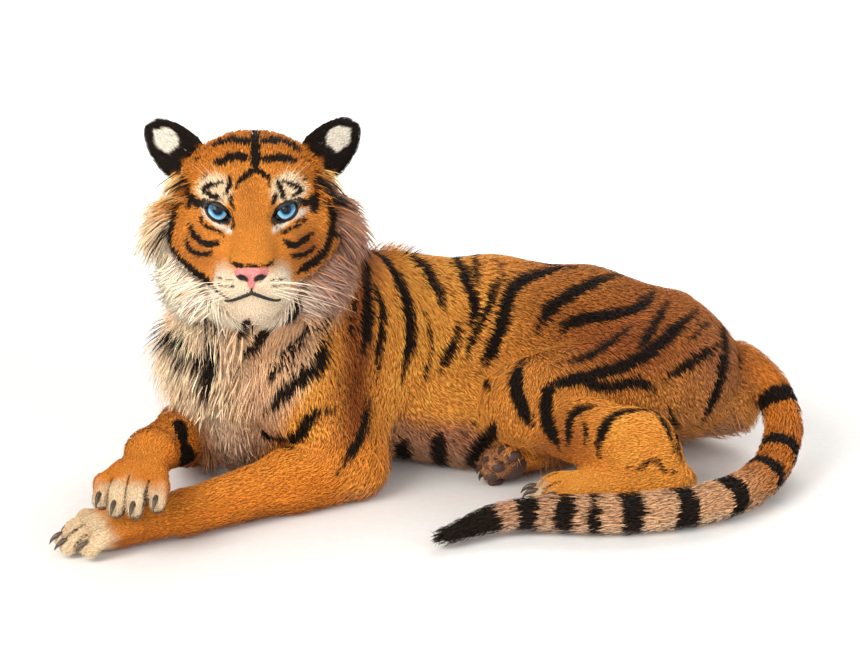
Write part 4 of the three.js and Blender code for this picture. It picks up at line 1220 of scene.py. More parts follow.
PALE_STRIPES: tuple[Stripe, ...] = (
    Stripe(5.5, ((201, 208), (207, 217), (216, 223), (224, 227), (230, 233)), 0.5, 0.7),
    Stripe(5.5, ((307, 207), (300, 215), (290, 220), (280, 225), (274, 232)), 0.5, 0.7),
)

TAIL_BANDS: tuple[tuple[Pixel, float], ...] = (
    ((777, 391), 24), ((777, 434), 22), ((777, 462), 20), ((743, 493), 26), ((694, 505), 24),
    ((634, 507), 22), ((595, 508), 9), ((566, 506), 20), ((527, 506), 22),
)
TAIL_TIP: Pixel = (497, 508)


@dataclass(frozen=True)
class Arc:
    """A stripe on a side that the camera doesn't see: where it lies, its width, and its two end angles."""

    at: float
    width: float
    low: float
    high: float


NECK_ARCS = (Arc(-0.1, 15, -75, 80), Arc(0.22, 17, -82, 88), Arc(0.52, 18, -70, 95), Arc(0.86, 19, -78, 90),
             Arc(1.2, 17, -60, 70))
SKULL_ARCS = (Arc(66, 13, -62, 62), Arc(34, 15, -70, 70), Arc(-2, 16, -58, 58))
ARM_ARCS = (Arc(0.08, 15, -50, 45), Arc(0.3, 13, -50, 45))
SHOULDER_ARCS = (Arc(-232, 17, -42, 56), Arc(-300, 16, -30, 52), Arc(-366, 14, -44, 30))
SIDE_ARCS = (Arc(-30, 13, -66, -10), Arc(64, 15, -62, -4), Arc(152, 14, -66, -12), Arc(250, 15, -64, -16),
             Arc(346, 16, -70, -8), Arc(430, 15, -66, -4), Arc(505, 13, -60, -8))


@dataclass
class Trace:
    """A stripe laid on the skin: the points of its middle and its half width at each, in millimetres."""

    points: Array
    halves: Array

    def distance(self, p: Array) -> Array:
        """The distance from points to the stripe's edge, negative on the stripe: |offset| − half width.

        Args:
            p: model points.

        Returns:
            One distance a point.
        """
        best = np.full(len(p), 99.0)
        for a, b, ha, hb in zip(self.points, self.points[1:], self.halves, self.halves[1:]):
            offset, t = off_link(p, a, b)
            best = np.minimum(best, lengths(offset) - ha - (hb - ha) * t)
        return best


@dataclass
class Markings:
    """All stripes, laid on the body from the viewpoint, mirrored to the far side and along the tail.

    Stripes are drawn `bold` times as wide as they are listed, those of the chest `chest` times more.
    """

    body: Body
    view: Viewpoint
    bold: float = 1.3
    chest: float = 1.35
    band: float = 0.86
    gap: float = 1.3
    toe_depth: float = 62
    ragged: float = 2.2
    far: float = 14
    fade: float = 0.3

    def __post_init__(self) -> None:
        """Lays out every stripe and the tail's bands."""
        self.dark: list[Trace] = []
        for group, bold in ((FACE_STRIPES, self.bold), (CHEST_STRIPES, self.chest * self.bold),
                            (BACK_STRIPES, self.bold), (FLANK_STRIPES, self.bold)):
            self.dark += self._lay(group, bold)
        self.pale = self._lay(PALE_STRIPES, self.bold)
        self.dark += self._arcs()
        tail = self.body.tail
        pixels = np.array([place for place, _ in TAIL_BANDS] + [TAIL_TIP], dtype=float)
        shares = tail.nearest(self.view.cast(pixels, lambda p: tail.nearest(p)[0]))[1]
        self.band_shares = shares[:-1]
        self.band_halves = np.array([width for _, width in TAIL_BANDS]) * self.band
        self.tip_share = float(shares[-1])
        self.border_z, self.border_x = self._face_border()

    def _lay(self, stripes: tuple[Stripe, ...], bold: float) -> list[Trace]:
        """Casts the middles of stripes onto the body, all in one march.

        The half width is bold · width / 2 · least(1, t / fade + start, (1 − t) / fade + end) at share t.

        Args:
            stripes: the stripes.
            bold: how many times their width they are drawn.

        Returns:
            Their traces, with the mirrored ones.
        """
        paths = [curve_through(np.array(s.path, dtype=float), 3) for s in stripes]
        spots = self.view.cast(np.vstack(paths), self.body.outline)
        scale = np.linalg.norm(spots - self.view.place, axis=1) * self.view.pixel
        traces, start = [], 0
        for s, path in zip(stripes, paths):
            here = slice(start, start + len(path))
            start += len(path)
            t = np.linspace(0, 1, len(path))
            share = np.minimum(1, np.minimum(t / self.fade + s.start, (1 - t) / self.fade + s.end))
            trace = Trace(spots[here], bold * s.width / 2 * scale[here] * share)
            traces.append(trace)
            if s.side is Side.BOTH:
                traces.append(Trace(self.mirror(trace.points), trace.halves))
        return traces

    def mirror(self, p: Array) -> Array:
        """Points mirrored over the spine's upright surface, y' = 2 spine(x) − y, and set on the body.

        Args:
            p: model points.

        Returns:
            The mirrored points.
        """
        names = ("breast_root", "withers", "ribs", "loin", "hip", "rump_end")
        spine = np.array([LANDMARKS[name] for name in names])
        q = p.copy()
        q[:, 1] = 2 * np.interp(p[:, 0], spine[:, 0], spine[:, 1]) - p[:, 1]
        return self.body.settle(q)

    def _arcs(self) -> list[Trace]:
        """Stripes that the front view hides: the nape, the back of the head, the right foreleg and side.

        Each is part of a circle round an axis, made wavy along it and set on the skin.
        """
        at, skull = LANDMARKS, self.body.head
        plans = []
        for arcs, start, end, out, radius in (
                (NECK_ARCS, at["skull_base"], at["nape"], unit(vec(0.3, 0.9, 0.4)), 130),
                (ARM_ARCS, at["elbow_r"], at["wrist_r"], vec(-1, 0.3, 0.6), 60)):
            plans += [(start + (end - start) * arc.at, unit(end - start), out, radius, arc) for arc in arcs]
        plans += [(skull.to_model(vec(0, -92, arc.at)[None])[0], vec(0, 0, 1), skull.turn_out(vec(0, -1, 0)),
                   100, arc) for arc in SKULL_ARCS]
        for arcs, y, z, radius in ((SHOULDER_ARCS, -30, 200, 150), (SIDE_ARCS, 60, 180, 160)):
            plans += [(vec(arc.at, y, z), vec(1, 0, 0), vec(0.12, 1, 0), radius, arc) for arc in arcs]
        traces = []
        for centre, axis, out, radius, arc in plans:
            first = unit(out - axis * (out @ axis))
            second = np.cross(axis, first)
            angle = np.radians(np.linspace(arc.low, arc.high, 15))[:, None]
            ring = centre + radius * (first * np.cos(angle) + second * np.sin(angle))
            ring = ring + axis * waves(ring, 90, 5)[:, None] * 7
            t = np.linspace(0, 1, len(ring))
            half = self.bold * arc.width / 2 * np.minimum(1, np.minimum(t, 1 - t) / self.fade + 0.1)
            traces.append(Trace(self.body.settle(ring, 8), half))
        return traces

    def _face_border(self) -> tuple[Array, Array]:
        """The border between the face and the ruff: its places up and out in the head's frame, by height.

        Returns:
            Heights, and how far out the border lies at them.
        """
        path = curve_through(np.array(FACE_BORDER.path, dtype=float), 3)
        local = self.body.head.to_local(self.view.cast(path, self.body.outline))
        order = np.argsort(local[:, 2])
        return local[order, 2], np.abs(local[order, 0])

    def border(self, z: Array) -> Array:
        """How far out the border of the face lies at heights z of the head's frame, and under the ear."""
        edge = np.interp(z, self.border_z, self.border_x)
        return np.where(z > 12, np.minimum(edge, 118), edge)

    def stripe(self, p: Array, traces: list[Trace]) -> Array:
        """The distance to the nearest stripe's edge, ragged by noise and held to ±far.

        Args:
            p: model points.
            traces: the stripes.

        Returns:
            Millimetres, negative on a stripe.
        """
        best = np.full(len(p), self.far)
        for trace in traces:
            pad = trace.halves.max() + self.far
            low, high = trace.points.min(axis=0) - pad, trace.points.max(axis=0) + pad
            near = np.nonzero(((p > low) & (p < high)).all(axis=1))[0]
            if len(near):
                best[near] = np.minimum(best[near], trace.distance(p[near]))
        return np.maximum(best, -self.far)

    def toe_gaps(self, p: Array) -> Array:
        """The distance to the thin lines of painted shade between the toes: |across − the gap's middle| −
        gap.

        Args:
            p: model points.

        Returns:
            Millimetres, negative on a line.
        """
        best = np.full(len(p), self.far)
        for name in ("forepaw_right", "hind_foot_left", "hind_foot_right"):
            paw = self.body.paws[name]
            o = p - paw.root
            along, across = o @ paw.ahead, o @ paw.aside
            near = (np.linalg.norm(p - paw.tip, axis=1) < 90) & (o @ paw.up > -0.7 * paw.thick)
            for lane in (-1, 0, 1):
                line = np.abs(across - lane * paw.width / 4) - self.gap
                line = np.maximum(line, (paw.length - self.toe_depth - along) * 0.5)
                best = np.where(near, np.minimum(best, line), best)
        return best

    def bands(self, share: Array) -> Array:
        """The distance to the nearest band of the tail, along it: |share − middle| · length − half width.

        Args:
            share: places along the tail, from 0 to 1.

        Returns:
            Millimetres, negative on a band.
        """
        length = self.body.tail.length
        gaps = np.abs(share[:, None] - self.band_shares) * length - self.band_halves
        tip = (self.tip_share - share) * length
        return np.clip(np.minimum(gaps.min(axis=1), tip), -self.far, self.far)

    def darkness(self, p: Array, rows: Array) -> Array:
        """The distance to the edge of any dark marking, on the tail or off it, or of the painted shade
        between the toes.

        Args:
            p: model points.
            rows: their distances to the parts.

        Returns:
            Millimetres, negative where it's dark.
        """
        result = self.stripe(p, self.dark) + self.ragged * (waves(p, 16, 3) * 0.6 + waves(p, 7, 4) * 0.4)
        result = np.minimum(result, self.toe_gaps(p))
        on_tail = rows[Part.TAIL] < np.delete(rows, Part.TAIL, axis=0).min(axis=0)
        if on_tail.any():
            q = p[on_tail]
            share = self.body.tail.nearest(q)[1]
            wobble = waves(q, 60, 8) * 6 + waves(q, 14, 9) * 3
            result[on_tail] = self.bands(share) + wobble
        return result


def tinted(red: float, green: float, blue: float) -> Array:
    """A dataclass field that starts as a display colour in linear light."""
    return field(default_factory=lambda: linear(red, green, blue))


@dataclass(frozen=True)
class Palette:
    """The coat's colours in linear light."""

    orange: Array = tinted(230, 136, 44)
    bright: Array = tinted(255, 172, 74)
    # rust is the coat's deeper red-brown, and also serves as painted shade on the back, the haunch, the legs
    # and behind the arm.
    rust: Array = tinted(140, 70, 30)
    tan: Array = tinted(214, 152, 100)
    # mauve serves as painted shade on the ruff, the breast, the belly, the rump, behind the thigh and on the
    # right hind toes, and tints the tail towards its tip.
    mauve: Array = tinted(150, 98, 80)
    golden: Array = tinted(244, 190, 116)
    cream: Array = tinted(253, 222, 184)
    white: Array = tinted(255, 241, 222)
    dark: Array = tinted(27, 17, 9)
    pad: Array = tinted(84, 58, 50)


@dataclass
class Colouring:
    """The ground colour of the coat: orange, with pale and rusty places and painted shade in rust and mauve
    that melt into it.

    `toes` gives how far each paw's pale toes reach back from its tip.
    """

    body: Body
    marks: Markings
    palette: Palette = Palette()
    melt: float = 9
    toes: dict[Part, float] = field(default_factory=lambda: {
        Part.FORE_LEFT: 104, Part.FORE_RIGHT: 66, Part.HIND_LEFT: 50, Part.FOOT_RIGHT: 70})

    def head(self, q: Array, normal: Array) -> Array:
        """The head's ground colour from places in its own frame.

        Cream lies on the whisker pads, the chin, over the eyes and in the ruff outside the dark border. The
        cheek and the ruff on the tiger's left carry painted shade, in rust and mauve.

        Args:
            q: points in the head's frame.
            normal: outward ways in the head's frame.

        Returns:
            Linear colours.
        """
        c = self.palette
        p = one_side(q)
        side, out, up = p.T
        right = -q[:, 0]
        colour = blend(plain(c.orange * 0.74, len(q)), c.bright, smooth(-40, 30, out) * 0.36)
        colour = blend(colour, c.rust, 0.4 * hill((side, 0, 24), (up, 30, 36)))
        cheek = hill((side, 92, 30), (up, -56, 42))
        # Extra rust on the cheek of the tiger's left, where right > 0, is painted shade.
        colour = blend(colour, c.rust, (0.5 + 0.35 * smooth(20, 80, right)) * cheek)
        pads, chin, brow, lips = (Ball(vec(*centre), vec(*radii)).distance(p) for centre, radii in (
            ((40, 92, -108), (47, 56, 34)), ((0, 70, -156), (66, 62, 33)),
            ((62, 24, 38), (34, 60, 28)), ((0, 96, -130), (44, 60, 26))))
        white = np.maximum(smooth(12, -12, pads), smooth(8, -8, np.minimum(chin, lips)))
        jaw = self.marks.border_z[0]
        below = smooth(jaw + 6, jaw - 8, up)
        outside = np.maximum(smooth(-8, 2, side - self.marks.border(up)) * smooth(110, 70, up), below)
        throat = smooth(0.2, -0.3, normal[:, 2]) * smooth(-185, -150, out)
        ruff = outside * np.maximum(smooth(-150, -105, out), throat)
        pale = blend(plain(c.golden, len(q)), c.cream, smooth(40, -40, up))
        pale = blend(pale, c.white, 0.6 * smooth(-20, -80, up))
        # Mauve on the ruff of the tiger's left is painted shade.
        pale = blend(pale, c.mauve, 0.85 * smooth(46, 92, right) * smooth(60, 20, up))
        colour = blend(colour, c.golden, 0.5 * smooth(8, -6, brow))
        colour = blend(colour, c.cream, 0.9 * smooth(3, -9, brow))
        colour = blend(colour, pale, ruff)
        return blend(colour, blend(c.cream, c.white, 0.3) * 0.88, white)

    def right_arm(self, p: Array) -> Array:
        """1 on the right upper arm below the breast, falling to 0 about 26 mm off its bone's field."""
        near = smooth(26, 4, self.body.trunk["upper_arm_right"].distance(p))
        return near * smooth(212, 165, p[:, 2]) * smooth(-385, -425, p[:, 0])

    def trunk(self, p: Array, normal: Array) -> Array:
        """The trunk's ground: orange, rusty on the back and the haunch, partly as painted shade, rusty behind
        the arm as painted shade, pale on the breast.

        The belly, the rump, the low breast and the place behind the thigh carry painted shade in mauve.

        Args:
            p: model points.
            normal: outward ways.

        Returns:
            Linear colours.
        """
        c = self.palette
        x, y, z = p.T
        drift = waves(p, 150, 21) * 12
        colour = plain(blend(c.orange, c.bright, 0.9), len(p))
        # Rust along the top of the back: partly the back's deeper colour, partly painted shade.
        back = smooth(280, 380, z + 0.25 * np.maximum(x, 0)) * smooth(40, 240, x)
        colour = blend(colour, c.rust, 0.6 * back)
        # Rust on the haunch: partly its deeper colour, partly painted shade.
        colour = blend(colour, c.rust, 0.9 * hill((x, 350, 205), (z + drift, 262, 92)))
        # Mauve on the lower rump and behind the thigh is painted shade.
        colour = blend(colour, c.mauve, 0.55 * (hill((x, 560, 90), (z, 180, 110)) * smooth(60, 0, y)))
        colour = blend(colour, c.mauve, 0.5 * (hill((x, 450, 60), (z, 90, 70)) * smooth(40, -40, y)))
        # Rust in the fold behind the arm is painted shade.
        fold = hill((x, -140, 42)) * smooth(50, 140, z) * smooth(60, -60, y)
        colour = blend(colour, c.rust, 0.95 * fold)
        clear = smooth(0, 26, self.body.trunk["thigh_left"].distance(p))
        under = clear * smooth(-0.1, -0.65, normal[:, 2]) * smooth(-260, -60, x) * smooth(170, 110, z)
        low = clear * smooth(150, 96, z + drift) * smooth(-110, -50, x) * smooth(150, 60, x)
        low *= smooth(40, -30, y)
        # Mauve on the underside and the low belly is painted shade; the touch of cream is the belly's own
        # pale colour.
        colour = blend(colour, c.mauve, np.maximum(under * 0.75, low * 0.85))
        colour = blend(colour, c.cream, under * 0.15)
        edge = -305 + 0.55 * (z - 133) + drift
        front = smooth(-0.25, 0.35, normal @ unit(vec(-0.35, -0.85, -0.3)))
        chest = smooth(24, -24, x - edge) * smooth(45, -30, y) * smooth(30, 70, z)
        chest *= np.maximum(front, smooth(290, 230, z)) * (1 - self.right_arm(p))
        throat = smooth(250, 330, z) * smooth(30, -40, x - (-215 + drift)) * front
        pale = np.maximum(chest, throat)
        colour = blend(colour, c.cream, pale)
        # Tan on the breast is partly its warmer colour and partly painted shade towards the body; the mauve
        # low on the breast is painted shade.
        colour = blend(colour, c.tan, pale * (0.05 + 0.6 * smooth(-400, -290, x)))
        return blend(colour, c.mauve, 0.5 * chest * smooth(190, 90, z))

    def leg(self, part: Part, p: Array, normal: Array) -> Array:
        """A leg's ground: orange, with painted shade in rust below and painted light above, and pale toes;
        the right hind foot's toes are painted shade in tan and mauve.

        Args:
            part: which leg.
            p: model points.
            normal: outward ways.

        Returns:
            Linear colours.
        """
        c = self.palette
        paw, reach = self.body.paws[PAW_OF[part]], self.toes[part]
        if part is Part.HIND_LEFT:
            colour = plain(blend(c.orange, c.bright, 0.6), len(p))
            # Rust on the lower thigh and knee of the left hind leg is painted shade.
            colour = blend(colour, c.rust, 0.7 * smooth(350, 270, p[:, 0]) * smooth(60, 105, p[:, 2]))
        else:
            colour = plain(c.orange * 0.9, len(p))
        # Rust where the skin looks down is painted shade, and brightness where it looks up is painted light.
        colour = blend(colour, c.rust, 0.5 * smooth(-0.1, -0.8, normal[:, 2]))
        colour = blend(colour, c.bright, 0.25 * smooth(0.2, 0.9, normal[:, 2]))
        along = (p - paw.root) @ paw.ahead + waves(p, 30, 31) * 7
        toes = smooth(paw.length - reach, paw.length - reach + 30, along)
        toes = toes * smooth(1.7 * reach + 12, 1.4 * reach, np.linalg.norm(p - paw.tip, axis=1))
        shaded, pale = blend(c.tan, c.mauve, 0.5), blend(c.cream, c.golden, 0.15) * 0.92
        return blend(colour, shaded if part is Part.FOOT_RIGHT else pale, toes)

    def tail(self, p: Array, normal: Array) -> Array:
        """The tail's ground: orange at its root, tan and cream from its bend on, shaded towards its tip.

        Args:
            p: model points.
            normal: the skin's way out at them.

        Returns:
            One colour a point.
        """
        c = self.palette
        share = self.body.tail.nearest(p)[1]
        colour = plain(blend(c.orange, c.rust, 0.3), len(p))
        colour = blend(colour, c.tan, smooth(0.34, 0.5, share) * 0.85)
        under = smooth(0.2, -0.7, normal[:, 2])
        colour = blend(colour, c.cream, under * 0.35 + 0.3 * smooth(0.4, 0.6, share))
        colour = blend(colour, c.mauve, 0.4 * smooth(0.55, 0.9, share))
        return colour * (1 - 0.15 * smooth(0.2, 0.4, share))[:, None]

    def at(self, p: Array, normal: Array, rows: Array) -> Array:
        """The ground colour at points of the skin: each part's own, weighed by exp(−distance / melt).

        Args:
            p: model points.
            normal: outward ways.
            rows: distances to the parts.

        Returns:
            Linear colours.
        """
        weight = np.exp(-np.maximum(rows, 0) / self.melt)[:, :, None]
        weight /= weight.sum(axis=0)
        head = self.body.head
        colours = weight[Part.HEAD] * self.head(head.to_local(p), normal @ head.turn)
        colours += weight[Part.TRUNK] * self.trunk(p, normal)
        for part in PAW_OF:
            colours += weight[part] * self.leg(part, p, normal)
        colours += weight[Part.TAIL] * self.tail(p, normal)
        return blend(colours, self.palette.white, smooth(1.5, -1.5, self.marks.stripe(p, self.marks.pale)))


# ---- The lie, length and width of the coat ----

@dataclass
class Lie:
    """Which way the hair runs: each bone has its way, weighed by exp(−distance / reach), laid on the skin."""

    body: Body
    reach: float = 24
    melt: float = 16
    nose: Array = start_at(0, 122, -84)

    def __post_init__(self) -> None:
        """Lists a way for each bone of the trunk, in the bones' order."""
        at = LANDMARKS
        down = vec(0, 0, -1)
        ways = {
            "rump": vec(1, 0, -0.35), "hips": vec(1, 0, -0.3), "loin": vec(1, 0, -0.4),
            "ribs": vec(1, 0.1, -0.45), "shoulders": vec(0.35, -0.15, -1),
            "breast": vec(-0.05, -0.25, -1), "belly": vec(1, 0.1, -0.3),
            "neck": unit(at["nape"] - at["skull_base"]) + vec(0.2, 0, 0), "throat": vec(0.05, -0.35, -1),
            "blade_left": vec(-0.1, -0.1, -1),
            "upper_arm_left": unit(at["elbow_l"] - at["shoulder_l"]) + down * 0.3,
            "triceps_left": unit(at["elbow_l"] - at["blade_l"]), "blade_right": down,
            "upper_arm_right": unit(at["elbow_r"] - at["shoulder_r"]) + down * 0.3,
            "thigh_left": vec(0.55, -0.25, -0.8), "thigh_right": vec(0.5, 0.3, -0.8),
        }
        self.trunk = unit(np.array([ways[name] for name in self.body.trunk]))

    def head(self, q: Array) -> Array:
        """The head's lie: away from the nose tip; the cheeks' hair runs back, out and down.

        Args:
            q: points in the head's frame.

        Returns:
            Ways in the head's frame, before they are laid on the skin.
        """
        side, _, up = one_side(q).T
        way = unit(q - self.nose)
        cheek = smooth(60, 112, side) * smooth(95, 30, up)
        chin = smooth(-118, -140, up) * smooth(80, 30, side)
        brow = hill((side, 60, 34), (up, 22, 26))
        for share, turned in ((cheek, (0.6, -0.4, -0.85)), (chin, (0.25, -0.5, -0.8)),
                              (brow, (0.6, -0.1, 0.9))):
            out = plain(vec(*turned), len(q))
            out[:, 0] *= np.sign(q[:, 0])
            way = blend(way, unit(out), share)
        return way

    def limb(self, part: Part, p: Array) -> Array:
        """A leg's lie: along its bones, then along its paw.

        Args:
            part: which leg.
            p: model points.

        Returns:
            Ways before they are laid on the skin.
        """
        paw = self.body.paws[PAW_OF[part]]
        past = smooth(-60, 20, (p - paw.root) @ paw.ahead)
        if part is Part.FOOT_RIGHT:
            along = paw.ahead
        elif part is Part.HIND_LEFT:
            knee, calf = LANDMARKS["knee_l"], LANDMARKS["calf_l"]
            below = unit(paw.root - calf)
            above = plain(unit(calf - knee), len(p))
            along = unit(blend(above, below, smooth(-30, 90, (p - calf) @ below)))
        else:
            along = unit(paw.root - LANDMARKS["elbow_l" if part is Part.FORE_LEFT else "elbow_r"])
        return blend(np.broadcast_to(along, (len(p), 3)), paw.ahead, past)

    def at(self, p: Array, normal: Array, rows: Array) -> Array:
        """The unit way of the hair along the skin.

        Args:
            p: model points.
            normal: outward ways.
            rows: distances to the parts.

        Returns:
            Unit ways, square to the normals.
        """
        weight = np.exp(-np.maximum(rows, 0) / self.melt)[:, :, None]
        head, tail = self.body.head, self.body.tail
        way = weight[Part.HEAD] * head.turn_out(self.head(head.to_local(p)))
        shares = np.stack([np.exp(-np.maximum(shape.distance(p), 0) / self.reach)
                           for shape in self.body.trunk.values()], axis=1)
        trunk = shares @ self.trunk
        trunk[:, 1] += 0.12 * np.sign(p[:, 1] - 60) * shares.sum(axis=1)
        way += weight[Part.TRUNK] * unit(trunk)
        for part in PAW_OF:
            way += weight[part] * self.limb(part, p)
        share = tail.nearest(p)[1]
        way += weight[Part.TAIL] * np.stack([np.interp(share, tail.share, k) for k in tail.ways.T], axis=1)
        return laid_flat(way, normal)

    def length(self, p: Array, rows: Array) -> Array:
        """The length of the short coat: 5 mm by the nose, 8 on the paws, up to 34 on the neck and belly.

        Args:
            p: model points.
            rows: distances to the parts.

        Returns:
            Millimetres.
        """
        weight = np.exp(-np.maximum(rows, 0) / 14)
        weight /= weight.sum(axis=0)
        local = self.body.head.to_local(p)
        face = 4.5 + 7.5 * smooth(30, 190, np.linalg.norm(local - self.nose, axis=1))
        face += 11 * smooth(-20, -95, local[:, 1])
        face += 7 * smooth(88, 130, np.abs(local[:, 0])) * smooth(40, -40, local[:, 2])
        x, _, z = p.T
        trunk = 22 + 12 * hill((x, -230, 120), (z, 380, 120)) + 9 * smooth(130, 60, z) * smooth(-140, -20, x)
        total = weight[Part.HEAD] * face + weight[Part.TRUNK] * trunk + weight[Part.TAIL] * 24
        for part, name in PAW_OF.items():
            away = np.linalg.norm(p - self.body.paws[name].tip, axis=1)
            total += weight[part] * (7 + 10 * smooth(50, 280, away))
        return total


# ---- The skin ----

@dataclass
class Skin:
    """One closed skin over all the flesh, with what the coat needs at each of its points.

    Its cells are `fine` across on the face, from `face_low` to `face_high`, and grow to `cell` elsewhere.
    """

    body: Body
    marks: Markings
    colouring: Colouring
    lie: Lie
    cell: float = 8.5
    fine: float = 3.6
    low: Point = (-690, -640, -12)
    high: Point = (750, 330, 790)
    face_low: Point = (-440, -560, 425)
    face_high: Point = (-170, -330, 690)

    def __post_init__(self) -> None:
        """Works out the surface, then its normals, colours, lie and unwrap."""
        cell, fine = ((self.cell, self.fine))
        spans = zip(self.low, self.high, self.face_low, self.face_high)
        lattice = Lattice(self.body.skin, tuple(ticks(low, high, cell, fine, start, stop)
                                                for low, high, start, stop in spans))
        self.points, self.quads = self.body.settle(lattice.points(), 1), lattice.quads()
        self.normals = self.body.outward(self.points)
        self.rows = self.body.parts(self.points)
        self.part = self.rows.argmin(axis=0)
        self.depth = self.body.depth(self.points, self.rows)
        self.ways = self.lie.at(self.points, self.normals, self.rows)
        self.length = self.lie.length(self.points, self.rows)
        self.ground = self.colouring.at(self.points, self.normals, self.rows)
        self.dark = self.marks.darkness(self.points, self.rows)
        self.face_uv = self._unwrap()
        log.info("skin: %d points", len(self.points))

    def _unwrap(self, gap: float = 12) -> Array:
        """Unwraps the skin: each part is cut by the six ways its faces look, and each chart lies flat.

        A chart keeps the two places across its way, at one scale, and the charts are shelved by height.

        Args:
            gap: millimetres between charts.

        Returns:
            UV places by face and corner.
        """
        corners = self.points[self.quads]
        normal = unit(np.cross(corners[:, 2] - corners[:, 0], corners[:, 3] - corners[:, 1]))
        axis = np.abs(normal).argmax(axis=1)
        way = axis * 2 + (normal[np.arange(len(axis)), axis] < 0)
        chart = self.part[self.quads[:, 0]] * 6 + way
        plane = np.array([[1, 2], [0, 2], [0, 1]])[axis]
        places = np.take_along_axis(corners, plane[:, None, :].repeat(4, axis=1), axis=2)
        boxes = []
        for number in np.unique(chart):
            spots = places[chart == number].reshape(-1, 2)
            boxes.append((number, spots.min(axis=0), np.ptp(spots, axis=0) + gap))
        boxes.sort(key=lambda b: -b[2][1])
        sheet = 1.25 * math.sqrt(sum(size[0] * size[1] for _, _, size in boxes))
        x = y = shelf = 0.0
        for number, corner, size in boxes:
            if x + size[0] > sheet:
                x, y, shelf = 0.0, y + shelf, 0.0
            places[chart == number] += vec(x, y) - corner
            x, shelf = x + size[0], max(shelf, size[1])
        return places / max(sheet, y + shelf)

    def combed(self, ways: Array) -> "Skin":
        """A light copy of the skin whose hair runs along other ways, laid on the skin.

        Args:
            ways: one way for each point of the skin.

        Returns:
            The copy.
        """
        other = copy.copy(self)
        other.ways = laid_flat(ways, self.normals)
        return other

    def build(self, maker: Maker, material: Material, nodes: list[str]) -> bpy.types.Object:
        """Makes the skin's mesh."""
        return maker.mesh("skin", self.points, self.quads, material, "coat", nodes,
                          colours={"ground": self.ground}, values={"dark": self.dark},
                          uv=("OFBake", self.face_uv.reshape(-1, 2)))


# ---- The coat ----

@dataclass
class Roots:
    """Where hairs grow: places on the skin with all that is known there, spread over its faces by area."""

    points: Array
    normals: Array
    ways: Array
    depth: Array
    length: Array
    ground: Array
    uv: Array
    part: Array

    @classmethod
    def spread(cls, skin: Skin, count: int, share: Array, seed: int) -> "Roots":
        """Draws roots evenly along the running sum of the faces' areas times their share.

        Inside a face a root lies at (1 − u)(1 − v) a + u (1 − v) b + u v c + (1 − u) v d.

        Args:
            skin: the skin.
            count: how many roots.
            share: how densely each of the skin's points grows hair.
            seed: the draw's seed.

        Returns:
            The roots.
        """
        rng = np.random.default_rng(seed)
        corners = skin.points[skin.quads]
        area = np.linalg.norm(np.cross(corners[:, 2] - corners[:, 0], corners[:, 3] - corners[:, 1]), axis=1)
        run = np.cumsum(area * share[skin.quads].mean(axis=1))
        face = np.searchsorted(run, (np.arange(count) + rng.random(count)) / count * run[-1])
        face = np.minimum(face, len(skin.quads) - 1)
        u, v = rng.random((2, count))
        weight = np.stack([(1 - u) * (1 - v), u * (1 - v), u * v, (1 - u) * v], axis=1)
        ring = skin.quads[face]

        def mixed(values: Array) -> Array:
            """Values of the skin's points at the roots."""
            picked = values[ring]
            return (picked * (weight[:, :, None] if picked.ndim == 3 else weight)).sum(axis=1)

        uv = (skin.face_uv[face] * weight[:, :, None]).sum(axis=1)
        return cls(mixed(skin.points), unit(mixed(skin.normals)), unit(mixed(skin.ways)), mixed(skin.depth),
                   mixed(skin.length), mixed(skin.ground), uv, skin.part[ring[:, 0]])

    def only(self, keep: Array) -> "Roots":
        """The roots that a mask keeps."""
        return Roots(*(getattr(self, name)[keep] for name in self.__dataclass_fields__))


